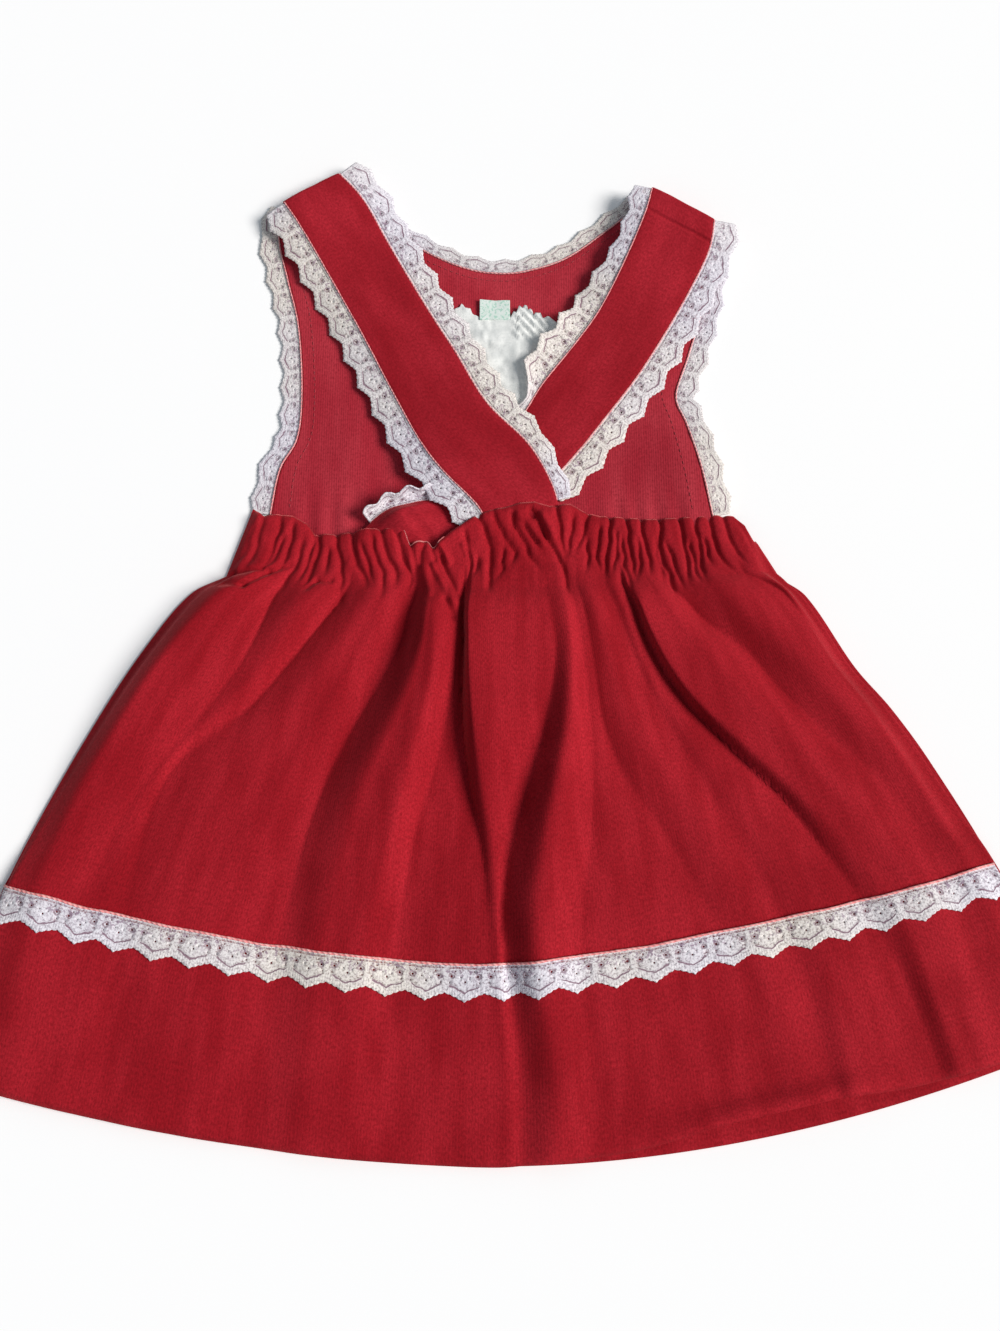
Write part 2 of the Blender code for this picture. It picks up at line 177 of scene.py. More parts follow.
class Shader:
    """Builds one procedural material."""

    def __init__(self, name, roughness, sheen=0.0, sheen_tint=(1, 1, 1, 1), specular=0.3):
        self.material = bpy.data.materials.new(name)
        self.material.use_nodes = True
        self.tree = self.material.node_tree
        self.out = self.tree.nodes["Principled BSDF"]
        self.out.inputs["Roughness"].default_value = roughness
        self.out.inputs["Sheen Weight"].default_value = sheen
        self.out.inputs["Sheen Roughness"].default_value = 0.35
        self.out.inputs["Sheen Tint"].default_value = sheen_tint
        self.out.inputs["Specular IOR Level"].default_value = specular

    def plug(self, socket, value):
        if isinstance(value, Wire):
            self.tree.links.new(value.socket, socket)
        elif value is not None:
            socket.default_value = value

    def node(self, kind, values=(), output=0, **settings):
        """A node with its first inputs filled, as the wire from one of its outputs."""
        made = self.tree.nodes.new("ShaderNode" + kind)
        for key, value in settings.items():
            setattr(made, key, value)
        for socket, value in zip(made.inputs, values):
            self.plug(socket, value)
        return Wire(self, made.outputs[output])

    def math(self, operation, *values):
        return self.node("Math", values, operation=operation)

    def sine(self, value):
        return self.math("SINE", value)

    def most(self, first, *others):
        for other in others:
            first = self.math("MAXIMUM", first, other)
        return first

    def uv(self, name):
        place = self.node("UVMap", uv_map=name)
        parts = self.node("SeparateXYZ", (place,))
        return parts, Wire(self, parts.socket.node.outputs[1])

    def place(self, x, y, z=0.0):
        return self.node("CombineXYZ", (x, y, z))

    def noise(self, place, scale, detail=2.0, rough=0.5):
        made = self.node("TexNoise", (place,))
        inputs = made.socket.node.inputs
        inputs["Scale"].default_value = scale
        inputs["Detail"].default_value = detail
        inputs["Roughness"].default_value = rough
        return made

    def step(self, value, low, high, to_low=0.0, to_high=1.0):
        values = (value, low, high, to_low, to_high)
        return self.node("MapRange", values, interpolation_type="SMOOTHSTEP")

    def mix(self, share, a, b):
        made = self.node("Mix", (share,), output=2, data_type="RGBA")
        inputs = made.socket.node.inputs
        self.plug(inputs[6], a)
        self.plug(inputs[7], b)
        return made

    def bump(self, height, distance, strength):
        made = self.node("Bump")
        inputs = made.socket.node.inputs
        inputs["Strength"].default_value = strength
        inputs["Distance"].default_value = distance
        self.plug(inputs["Height"], height)
        self.plug(self.out.inputs["Normal"], made)

    def finish(self, color, roughness=None, alpha=None):
        self.plug(self.out.inputs["Base Color"], color)
        self.plug(self.out.inputs["Roughness"], roughness)
        self.plug(self.out.inputs["Alpha"], alpha)
        return self.material


TURN = 2 * math.pi


def needlecord(name, deep, base, light, wale, nap, sheen, ribbed):
    """Brushed needlecord: fine wales along the cloth's length, and a nap that lies unevenly."""
    s = Shader(name, 0.9, sheen=sheen, sheen_tint=linear(235, 120, 120), specular=0.12)
    u, v = s.uv("Cloth")
    wander = s.noise(s.place(u, v * 0.15), 0.12) * 1.6
    rib = s.math("COSINE", (u + wander) * (TURN / wale)) * 0.5 + 0.5
    fibre = s.noise(s.place(u, v * 0.45), 1.7, 3.0, 0.65)
    speck = s.noise(s.place(u, v), 0.75, 2.0, 0.65)
    patch = s.noise(s.place(u, v * 0.6), 0.028, 3.0, 0.55)
    brush = s.noise(s.place(u * 1.7, v * 0.35), 0.07, 2.0, 0.5)
    s.bump(rib * ribbed + fibre * 0.7, nap * MM, 0.5)
    color = s.mix(s.step(patch * 0.6 + brush * 0.4, 0.36, 0.66), base, light)
    grain = rib * (ribbed * 0.35) + fibre * 0.9 + speck * 0.7
    color = s.mix(s.step(grain, 1.15, 0.5, 0.0, 0.62), color, deep)
    return s.finish(color, s.step(fibre, 0.3, 0.7, 0.95, 0.78))


RED = needlecord(
    "red_needlecord", linear(92, 4, 12), linear(155, 17, 30), linear(182, 32, 45),
    wale=1.25, nap=0.25, sheen=0.55, ribbed=0.14,
)
RED_STRAP = needlecord(
    "red_strap_velvet", linear(108, 8, 18), linear(154, 21, 34), linear(182, 37, 51),
    wale=1.25, nap=0.2, sheen=0.4, ribbed=0.06,
)
RED_INSIDE = needlecord(
    "red_needlecord_inside", linear(112, 15, 27), linear(168, 38, 52), linear(188, 57, 69),
    wale=1.05, nap=0.16, sheen=0.12, ribbed=0.45,
)
LACE_LONG, LACE_WIDE = 15.5, 14.5  # one repeat of the lace pattern, along and across
LACE_CLOTH = 0.55  # the lace's thickness
EYE_OUT, EYE_DOWN = 5.2, 4.8  # the ringed eyes, from a repeat's middle and from the cord
BORDER_DOWN, BORDER_SLOPE = 10.9, 0.42  # the border's upper side: at the middle, and its slope


def lace_material():
    """Cotton lace: net with a filled diamond in each repeat, ringed eyes at both its sides, a
    sunk line below it, posts between the repeats and a ribbed border. The Lace map is in
    millimetres of the pattern: along the band, and across from the cord to the tips."""
    s = Shader("white_lace", 0.8, sheen=0.15, specular=0.12)
    u, w = s.uv("Lace")
    wavy_u = u + (s.noise(s.place(u, w, 5.0), 0.28, 1.0) - 0.5) * 2.2
    wavy_w = w + (s.noise(s.place(u, w, 9.0), 0.3, 1.0) - 0.5) * 1.8
    from_middle = abs(s.math("FRACT", wavy_u / LACE_LONG) * LACE_LONG - LACE_LONG / 2)
    below = wavy_w - (BORDER_DOWN - from_middle * BORDER_SLOPE)  # above 0 in the border
    border = s.step(below, -0.1, 0.3)
    # The sunk line below the diamond, later painted dark mauve as the shade in its slit
    line = s.step(abs(below), 0.42, 0.2) * s.step(from_middle, 6.2, 5.6)
    diamond = s.step(from_middle * 0.78 + abs(wavy_w - 6.4), 5.2, 3.6)
    aside = s.math("POWER", (from_middle - EYE_OUT) / 1.35, 2.0)
    away = s.math("POWER", (wavy_w - EYE_DOWN) / 1.15, 2.0)
    # The eyes' rings: sunk, and painted mauve as the shade inside the eyes
    eye_ring_shade = s.step(abs(s.math("SQRT", aside + away) - 0.72), 0.42, 0.12)
    post = s.step(from_middle, 6.2, 7.2)
    solid = s.most(diamond, border, post, s.step(w, 1.3, 0.9))
    beside_cord = s.step(abs(w - 1.65), 0.45, 0.15)
    net = s.sine((u + w) * (TURN / 1.25)) * s.sine((u - w) * (TURN / 1.25))
    holes = (1.0 - solid) * s.step(net, -0.2, 0.45)
    weave = s.noise(s.place(u, w), 1.05, 2.0, 0.65)
    # Specks, most of them near the cord, painted mauve as the shade in the lace's small holes
    hole_shade_noise = s.noise(s.place(u, w, 7.0), 0.8, 1.0, 0.5)
    speck = s.step(hole_shade_noise, 0.56, 0.66) * (s.step(w, 7.5, 3.0) * 0.5 + 0.25)
    alpha = 0.9 - holes * 0.4 - beside_cord * 0.35 - s.step(weave, 0.45, 0.7, 0.0, 0.5)
    alpha = s.most(alpha + s.most(line, speck) * 0.4, 0.0)
    border_rib = (s.sine(u * TURN) + s.sine(below * (TURN / 1.5))) * border
    height = weave * 1.3 + border_rib * 0.15 + solid * 0.3 - s.most(eye_ring_shade, line) * 0.5
    s.bump(height, 0.26 * MM, 0.6)
    # The cotton is creamier in some places and bluer in others
    aged = s.step(s.noise(s.place(u, 0.0, 3.0), 0.011, 1.0), 0.4, 0.62)
    pale = s.mix(aged, linear(238, 235, 242), linear(240, 234, 227))
    dull = s.mix(aged, linear(214, 206, 218), linear(218, 208, 202))
    color = s.mix(s.step(weave, 0.7, 0.36, 0.0, 0.7) + solid * 0.3, dull, pale)
    # Painted shade: mauve in the eyes' rings, for the shade inside the eyes
    color = s.mix(eye_ring_shade * 0.6, color, linear(150, 116, 132))
    # Painted shade: mauve specks for the shade in the lace's small holes
    color = s.mix(speck, color, linear(128, 96, 122))
    # Painted shade: the sunk line is dark mauve, for the shade in its slit
    color = s.mix(line * 0.85, color, linear(126, 88, 108))
    return s.finish(color, None, s.math("MINIMUM", alpha, 0.96))


def thread_material(name, dark, light, pitch):
    """A twisted thread: the Cloth map runs along it."""
    s = Shader(name, 0.7, sheen=0.2, specular=0.25)
    u, v = s.uv("Cloth")
    twist = s.sine((u + v) * (TURN / pitch))
    s.bump(twist, 0.15 * MM, 0.7)
    lumps = s.noise(s.place(u, v), 0.5, 2.0)
    share = twist * 0.25 + s.step(lumps, 0.35, 0.65, 0.1, 0.8)
    return s.finish(s.mix(share, dark, light))


def label_material(name, low, high, fleck, amount):
    """A woven ribbon: fine weft lines, and flecks of a second colour without any lettering."""
    s = Shader(name, 0.5, sheen=0.1, specular=0.35)
    u, v = s.uv("Cloth")
    weft = s.sine(v * (TURN / 0.55))
    warp = s.sine(u * (TURN / 0.7))
    s.bump(weft * warp + weft * 0.6, 0.1 * MM, 0.5)
    cloud = s.noise(s.place(u, v), 0.18, 3.0)
    color = s.mix(s.step(cloud, 0.3, 0.7), low, high)
    spots = s.noise(s.place(u, v), 0.8, 1.0)
    return s.finish(s.mix(s.step(spots, 0.5, 0.6, 0.0, amount), color, fleck))


def floor_material():
    s = Shader("pale_floor", 0.9, specular=0.1)
    cloud = s.noise(s.place(*s.uv("Cloth")), 3.0)
    return s.finish(s.mix(cloud, linear(249, 249, 250), linear(253, 253, 252)))


LACE = lace_material()
HEM_CORD = thread_material("hem_cord", linear(228, 130, 130), linear(250, 182, 178), 2.2)
STRAP_CORD = thread_material("strap_cord", linear(214, 128, 130), linear(236, 170, 170), 1.9)
INSIDE_THREAD = thread_material("inside_thread", linear(168, 46, 58), linear(190, 70, 80), 0.7)
FRAY = thread_material("frayed_edge", linear(204, 92, 96), linear(240, 156, 152), 0.8)
LABEL = label_material(
    "white_label", linear(222, 224, 222), linear(242, 243, 240), linear(206, 210, 208), 0.3
)
TAB = label_material(
    "mint_tab", linear(216, 230, 222), linear(230, 238, 233), linear(160, 208, 188), 0.7
)

# ---------------------------------------------------------------- making pieces


def add_piece(name, verts, faces, maps, look, smooth=True):
    """A mesh object from drafting places. maps gives each UV map's place for every vertex."""
    mesh = bpy.data.meshes.new(name)
    places = (np.asarray(verts, float) - ORIGIN) * MM
    mesh.from_pydata(places.tolist(), [], np.asarray(faces).tolist())
    loops = np.empty(len(mesh.loops), np.int32)
    mesh.loops.foreach_get("vertex_index", loops)
    for map_name, uv in maps.items():
        layer = mesh.uv_layers.new(name=map_name)
        layer.data.foreach_set("uv", np.asarray(uv, np.float32)[loops].ravel())
    mesh.materials.append(look)
    mesh.polygons.foreach_set("use_smooth", np.full(len(mesh.polygons), smooth))
    made = bpy.data.objects.new(name, mesh)
    bpy.context.scene.collection.objects.link(made)
    return made


def thicken(piece, wall):
    solid = piece.modifiers.new("wall", "SOLIDIFY")
    solid.thickness = wall * MM
    solid.offset = -1.0
    return piece


def grid_faces(rows, columns):
    a = (np.arange(rows - 1)[:, None] * columns + np.arange(columns - 1)).ravel()
    return np.stack([a, a + 1, a + 1 + columns, a + columns], 1)


def cloth(name, points, uv, wall, look):
    """A cloth panel from a grid of places on its upper face: rows run up, columns to the right."""
    faces = grid_faces(*points.shape[:2])
    piece = add_piece(name, points.reshape(-1, 3), faces, {"Cloth": uv.reshape(-1, 2)}, look)
    return thicken(piece, wall)


def with_sides(points, steps, side=(1, 0, 0), on_left=(1, 1)):
    """A panel's grid with its sides turned down. steps gives each added column's distance out
    and its drop, and on_left is the share of both on the left."""
    side = np.asarray(side, float)
    left, right = [], []
    for out, drop in steps:
        left.insert(0, points[:, 0] - side * out * on_left[0] + UP * drop * on_left[1])
        right.append(points[:, -1] + side * out + UP * drop)
    return np.concatenate([np.stack(left, 1), points, np.stack(right, 1)], 1)


def normals(points):
    return unit(np.cross(np.gradient(points, axis=1), np.gradient(points, axis=0)))


# ---------------------------------------------------------------- camera's view

# The camera's place and tilt, and the picture's width, height and focal length in pixels
CAMERA_X, CAMERA_Y, CAMERA_HIGH = -4.8, 80.5, 479.8
CAMERA_TILT = math.radians(14)
PICTURE_WIDE, PICTURE_TALL, PICTURE_FOCAL = 1000, 1331, 1150


def to_picture(x, y, z):
    """The pixel, across and down the picture, of a drafting place."""
    beyond, below = y - CAMERA_Y, CAMERA_HIGH - z
    depth = below * math.cos(CAMERA_TILT) + beyond * math.sin(CAMERA_TILT)
    up = beyond * math.cos(CAMERA_TILT) - below * math.sin(CAMERA_TILT)
    scale = PICTURE_FOCAL / depth
    return PICTURE_WIDE / 2 + scale * (x - CAMERA_X), PICTURE_TALL / 2 - scale * up


def from_picture(u, v, z):
    """The drafting place that a pixel shows, at height z."""
    across = (u - PICTURE_WIDE / 2) / PICTURE_FOCAL
    up = (PICTURE_TALL / 2 - v) / PICTURE_FOCAL
    reach = (CAMERA_HIGH - z) / (math.cos(CAMERA_TILT) - up * math.sin(CAMERA_TILT))
    beyond = reach * (math.sin(CAMERA_TILT) + up * math.cos(CAMERA_TILT))
    return CAMERA_X + reach * across, CAMERA_Y + beyond


# ---------------------------------------------------------------- skirt

SKIRT_LENGTH, CENTRE_X, BACK_WAIST_Y = 232.0, -6.0, 250.0
SKIRT_LEFT = [
    (-124, 240), (-139, 232), (-155, 211), (-172, 182), (-195, 135), (-209, 100), (-224, 32),
]
SKIRT_RIGHT = [
    (115, 241), (128, 231), (147, 199), (161, 181), (175, 159), (198, 115), (224, 47),
]
BACK_LEFT, BACK_RIGHT = [(-120, 250)] + SKIRT_LEFT, [(110, 250)] + SKIRT_RIGHT
LEFT_SAG, RIGHT_SAG, BACK_HEM_SAG = 1.8, 1.42, 1.9
# The frill's upper edge, from the left
HEADER = [
    (-114, 271), (-109, 267), (-103, 268), (-96, 267), (-90, 263.5), (-86, 259), (-79, 258.5),
    (-68, 259.5), (-54, 260), (-46.6, 259), (-44, 252.5), (-37, 254.5), (-33.5, 251),
    (-31.5, 253.5), (-26.5, 258), (-16, 265.5), (-9, 268.3), (-2, 269.7), (4, 271.5), (10.5, 272),
    (17, 270), (26, 271.5), (32, 269), (39, 267), (48, 266.4), (61, 265.5), (74, 266.4),
    (91, 267.3), (98, 267), (102.5, 263.6), (106.5, 256),
]
HEM_LACE, BACK_HEM_LACE = (0.672, 0.735), (0.695, 0.753)  # the bands' sides, as shares down
HALF_WIDTH = 220  # half the cloth's width on its map


def skirt_xy(across, down, left=SKIRT_LEFT, right=SKIRT_RIGHT, top=SKIRT_LENGTH, sag=RIGHT_SAG):
    """The flat skirt's place: across from -1 to 1, down from 0 at the top to 1 at the hem."""
    across, down = np.broadcast_arrays(across, down)
    left_x, left_y = on_outline(left, down)
    right_x, right_y = on_outline(right, down)
    is_left = across < 0
    edge_x, edge_y = np.where(is_left, left_x, right_x), np.where(is_left, left_y, right_y)
    middle_y = top * (1 - down)
    part = np.abs(across)
    share = part ** np.where(is_left, LEFT_SAG, sag)
    return CENTRE_X + part * (edge_x - CENTRE_X), middle_y + (edge_y - middle_y) * share


def back_xy(across, down):
    return skirt_xy(across, down, BACK_LEFT, BACK_RIGHT, BACK_WAIST_Y, BACK_HEM_SAG)


# The front's folds: crests and valleys that run down the panel. Each has its kind, how sharp it
# is, how far it leans, its route as it was read in the picture, and its height above the cloth
# that lies flat, in millimetres, at each of FOLD_STOPS down the panel.
FOLD_STOPS = (0.0, 0.05, 0.1, 0.18, 0.27, 0.37, 0.47, 0.58, 0.7, 0.85, 1.0)
CREST, VALLEY = 0, 1  # a valley's sharpness goes from 0, a soft trough, to 1, a crevice
Fold = namedtuple("Fold", "kind sharp lean route heights")
FOLDS = [
    Fold(CREST, 0, 0, ((228, 590), (192, 622), (162, 660), (134, 702), (110, 742), (86, 782), (67, 822),
        (52, 862), (40, 905), (30, 955), (22, 1010), (14, 1090)),
        (6.2, 8.4, 9.2, 9.2, 8.8, 7.8, 6.4, 5.0, 3.6, 2.6, 1.6)),
    Fold(VALLEY, 0.6, 0, ((287, 572), (277, 594), (264, 618), (252, 645), (236, 670), (212, 700),
        (178, 740), (138, 790), (104, 850), (90, 900), (80, 950), (72, 1000), (62, 1100)),
        (0.8, 0.2, 2.0, 4.4, 4.7, 4.4, 3.9, 3.3, 2.6, 1.9, 1.3)),
    Fold(CREST, 0, 0, ((318, 585), (305, 600), (288, 625), (268, 655), (243, 685), (215, 712),
        (185, 742), (160, 768), (135, 800), (115, 850), (102, 900), (93, 950), (85, 1000), (78, 1100)),
        (4, 6.0, 6.2, 5.7, 5.1, 4.5, 3.9, 3.2, 2.5, 1.8, 1.2)),
    Fold(VALLEY, 0.6, 0, ((350, 585), (338, 605), (320, 625), (303, 645), (287, 665), (268, 690),
        (243, 712), (213, 735), (183, 752), (165, 775), (150, 810), (138, 850), (128, 900), (120, 950),
        (112, 1000), (105, 1100)),
        (0.8, 0.3, 0.2, 0.6, 1.4, 2.2, 2.2, 1.9, 1.6, 1.2, 0.8)),
    Fold(CREST, 0, 0, ((374, 600), (352, 630), (328, 660), (298, 700), (266, 740), (236, 780),
        (208, 820), (190, 860), (177, 900), (168, 950), (160, 1000), (152, 1100)),
        (4, 5.6, 5.4, 5.0, 4.7, 4.2, 3.4, 2.8, 2.2, 1.7, 1.2)),
    Fold(CREST, 0, 0, ((382, 600), (368, 630), (350, 660), (328, 700), (304, 740), (276, 780),
        (246, 820), (226, 860), (212, 900), (202, 950), (194, 1000), (188, 1100)),
        (3.8, 5.2, 5.0, 4.4, 3.9, 3.6, 3.2, 2.8, 2.3, 1.7, 1.2)),
    Fold(VALLEY, 0.3, 0, ((412, 600), (408, 630), (394, 660), (372, 695), (346, 740), (322, 790),
        (304, 840), (292, 890), (280, 940), (270, 1000), (262, 1100)),
        (0.4, 0.1, 0, 0, 0, 0.1, 0.2, 0.4, 0.5, 0.5, 0.5)),
    Fold(CREST, 0, 0, ((430, 600), (425, 640), (411, 690), (388, 738), (364, 790), (350, 840),
        (338, 890), (326, 950), (318, 1000), (310, 1100)),
        (5.5, 9.4, 11.4, 11.6, 10.4, 8.6, 6.8, 5.0, 3.7, 2.6, 1.7)),
    Fold(CREST, 0, 0, ((434, 600), (434, 640), (428, 690), (414, 730), (400, 790), (386, 840),
        (372, 890), (358, 950), (347, 1000), (338, 1100)),
        (5.5, 9.6, 12.0, 12.4, 11.4, 9.8, 7.4, 5.2, 3.7, 2.5, 1.5)),
    Fold(VALLEY, 0.4, 0, ((455, 600), (457, 650), (452, 700), (445, 725), (435, 760), (424, 800),
        (412, 840), (404, 880), (398, 940), (394, 1000), (392, 1100)),
        (5, 5.6, 5.0, 3.2, 2.0, 1.4, 1.0, 0.9, 0.7, 0.6, 0.5)),
    Fold(VALLEY, 0.85, 0, ((463, 600), (464, 650), (461, 700), (464, 740), (469, 780), (476, 820),
        (484, 850), (489, 900), (491, 950), (492, 1000), (495, 1100)),
        (0, 0, 0, 0, 0, 0.8, 2.2, 2.4, 1.9, 1.4, 1.0)),
    Fold(CREST, 0, -0.2, ((473, 600), (474, 650), (477, 700), (482, 740), (487, 780), (492, 820),
        (497, 860), (499, 900), (500, 950), (503, 1000), (508, 1100)),
        (6.4, 9.4, 10.8, 11.4, 11.0, 8.4, 5.0, 3.4, 2.4, 1.7, 1.2)),
    Fold(VALLEY, 0.3, 0, ((548, 600), (556, 640), (553, 690), (544, 730), (532, 770), (522, 810),
        (510, 850), (502, 885), (502, 950), (511, 1000), (519, 1060), (520, 1140)),
        (5.4, 7.8, 8.8, 7.6, 4.6, 1.8, 0.5, 0.2, 0.2, 0.4, 0.4)),
    Fold(CREST, 0, 0.1, ((562, 600), (568, 650), (568, 700), (563, 740), (553, 790), (544, 840),
        (537, 890), (534, 950), (545, 1010), (556, 1070), (554, 1140)),
        (6, 9, 10.8, 11.8, 12.4, 12.6, 11.6, 9.6, 7.0, 5.0, 3.4)),
    Fold(VALLEY, 0.3, 0, ((573, 600), (582, 650), (589, 700), (592, 750), (592, 800), (588, 850),
        (583, 900), (580, 950), (588, 1010), (598, 1070), (600, 1140)),
        (4.6, 6.2, 6.8, 6.2, 5.4, 5.0, 4.4, 3.6, 2.6, 1.8, 1.2)),
    Fold(VALLEY, 0.6, 0, ((582, 600), (592, 650), (600, 700), (607, 745), (625, 778), (648, 810),
        (675, 847), (695, 885), (713, 915), (733, 960), (753, 1020), (773, 1100)),
        (4.8, 6.2, 6.6, 5.6, 3.8, 2.4, 1.7, 1.4, 1.2, 1.0, 0.7)),
    Fold(CREST, 0, 0, ((592, 600), (603, 640), (618, 685), (638, 730), (664, 770), (692, 805),
        (718, 850), (740, 900), (762, 950), (782, 1020), (798, 1100)),
        (6, 7.8, 8.0, 7.2, 6.2, 5.2, 4.2, 3.3, 2.5, 1.8, 1.1)),
    Fold(VALLEY, 0.1, 0, ((612, 600), (628, 640), (645, 680), (665, 720), (690, 760), (715, 800),
        (745, 850), (770, 900), (795, 950), (815, 1020), (830, 1090)),
        (4.2, 4.9, 4.9, 4.5, 4.0, 3.4, 2.7, 2.1, 1.5, 0.8, 0.3)),
    Fold(CREST, 0, 0, ((620, 600), (635, 640), (652, 680), (674, 718), (701, 755), (730, 795),
        (763, 840), (793, 885), (815, 930), (838, 1000), (850, 1080)),
        (5, 5.8, 5.6, 5.0, 4.5, 4.0, 3.4, 2.9, 2.6, 2.4, 2.2)),
    Fold(VALLEY, 0.85, 0, ((630, 600), (641, 630), (655, 660), (676, 690), (698, 718), (731, 748),
        (760, 776), (791, 806), (815, 838), (838, 868), (858, 890), (880, 935), (904, 983), (925, 1025),
        (940, 1070)),
        (1.4, 1.2, 0.9, 0.6, 0.5, 0.5, 0.8, 1.0, 0.9, 0.4, 0.3)),
    Fold(CREST, 0, -0.1, ((641, 600), (654, 630), (669, 660), (691, 690), (715, 716), (747, 744),
        (779, 772), (810, 800), (838, 828), (866, 858), (888, 885), (908, 930), (930, 980), (950, 1025),
        (963, 1070)),
        (6, 8.8, 9.6, 9.6, 9.2, 8.2, 6.8, 5.0, 3.8, 3.6, 3.0)),
    Fold(CREST, 0, 0, ((662, 600), (690, 640), (720, 670), (752, 705), (780, 735), (812, 770),
        (845, 805), (878, 840), (908, 872), (932, 915), (952, 970), (972, 1050)),
        (5.4, 7.6, 8.8, 9.0, 8.8, 8.2, 6.9, 5.5, 4.3, 3.1, 2.1)),
    Fold(VALLEY, 0.35, 0, ((672, 590), (694, 612), (718, 635), (750, 655), (775, 685), (805, 715),
        (835, 742), (868, 768), (900, 800), (928, 840), (950, 875), (968, 930)),
        (2, 1.2, 0.8, 1.2, 1.8, 2.4, 2.5, 2.1, 1.7, 1.3, 0.9)),
    Fold(CREST, 0, 0, ((722, 585), (755, 615), (785, 638), (812, 665), (842, 697), (870, 725),
        (895, 753), (925, 783), (948, 812), (968, 850), (985, 890)),
        (5, 6.8, 7.4, 7.2, 6.4, 5.4, 4.3, 3.2, 2.4, 1.8, 1.3)),
    Fold(VALLEY, 0.4, 0, ((742, 562), (765, 582), (790, 600), (812, 622), (838, 655), (866, 693),
        (895, 730), (922, 765), (948, 800), (968, 835), (985, 870)),
        (1.8, 2.2, 3.0, 3.4, 3.6, 3.4, 3, 2.5, 2, 1.5, 1.1)),
    Fold(CREST, 0, 0, ((752, 562), (778, 582), (803, 604), (826, 630), (850, 660), (876, 695),
        (903, 733), (930, 770), (955, 803), (975, 838), (990, 868)),
        (3.4, 4.2, 4, 3.6, 3.4, 3.3, 2.9, 2.4, 1.9, 1.4, 1)),
]

FLAT_TOP = 3.4  # the front's upper face where it lies flat on the back
EDGE_TOP = 2.2  # the same at its sides
ROUTE_GOES_ON = 0.6  # the share of its slope that a route keeps past its last point
SOFTENED, SOFTER_DOWN = 0.85, (0.5, 0.78)  # valleys lose this share of their sharpness lower down


def fold_tracks():
    """Where each fold's route lies across the panel, at each of FOLD_STOPS."""
    across, down = np.meshgrid(np.linspace(-1.02, 1.02, 817), np.linspace(0, 1, 401))
    x, y = skirt_xy(across, down)
    tracks = []
    for fold in FOLDS:
        u, v = to_picture(x, y, FLAT_TOP + np.interp(down, FOLD_STOPS, fold.heights))
        nearest = [np.argmin((u - there[0]) ** 2 + (v - there[1]) ** 2) for there in fold.route]
        s, f = across.ravel()[nearest], down.ravel()[nearest]
        beyond = np.maximum(np.array(FOLD_STOPS) - f[-1], 0)
        track = np.interp(FOLD_STOPS, f, s)
        track += ROUTE_GOES_ON * beyond * (s[-1] - s[-2]) / max(f[-1] - f[-2], 0.02)
        tracks.append(np.clip(track, -1, 1))
    return np.array(tracks)


def fold_field(across, down):
    """The folds' height and sideways lean, at every pairing of down and across."""
    sides = np.ones(len(FOLD_STOPS))
    level = [Fold(VALLEY, 0, 0, None, 0 * sides)]
    folds = level + FOLDS + level
    places = np.concatenate([[-sides], fold_tracks(), [sides]])
    tracks = np.array([curve(FOLD_STOPS, place, down) for place in places]).T
    heights = np.array([curve(FOLD_STOPS, fold.heights, down) for fold in folds]).T
    tracks = np.maximum.accumulate(tracks + np.arange(len(folds)) * 1e-5, axis=1)
    kinds, sharp, leans = np.array([fold[:3] for fold in folds], float).T
    height = np.empty((len(down), len(across)))
    lean = np.empty_like(height)
    for r in range(len(down)):
        i = np.clip(np.searchsorted(tracks[r], across, side="right") - 1, 0, len(folds) - 2)
        t = np.clip((across - tracks[r][i]) / (tracks[r][i + 1] - tracks[r][i]), 0, 1)
        to_valley = kinds[i + 1] == VALLEY
        u = np.where(to_valley, t, 1 - t)  # 0 at the crest, 1 at the valley
        crest = np.where(to_valley, heights[r][i], heights[r][i + 1])
        valley = np.where(to_valley, heights[r][i + 1], heights[r][i])
        k = np.where(to_valley, sharp[i + 1], sharp[i])
        both_crests = (kinds[i] == CREST) & (kinds[i + 1] == CREST)
        k = np.where(both_crests, 0, k) * (1 - SOFTENED * ramp(*SOFTER_DOWN, down[r]))
        soft = u * u * (3 - 2 * u)
        steep = 1 - (1 - u**2.2) ** 0.6
        height[r] = crest + (valley - crest) * (soft * (1 - k) + steep * k)
        lean[r] = leans[i] + (leans[i + 1] - leans[i]) * t
    return height, lean


PLEATS, PLEAT_TALL = 44, 2.1  # the waist's gathers, and the height of the casing's pleats
CASING_LONG = 34.0
# How far the pleats' upper ends lean: place across, and millimetres to the right
LEANS = (
    (-1, -0.85, -0.72, -0.6, -0.48, -0.38, -0.25, -0.1, 0.1, 0.35, 0.6, 0.85, 1),
    (0, 2, 3, 0, -5, -7, -5, -2, 0, -1, -3, -2.5, 0),
)
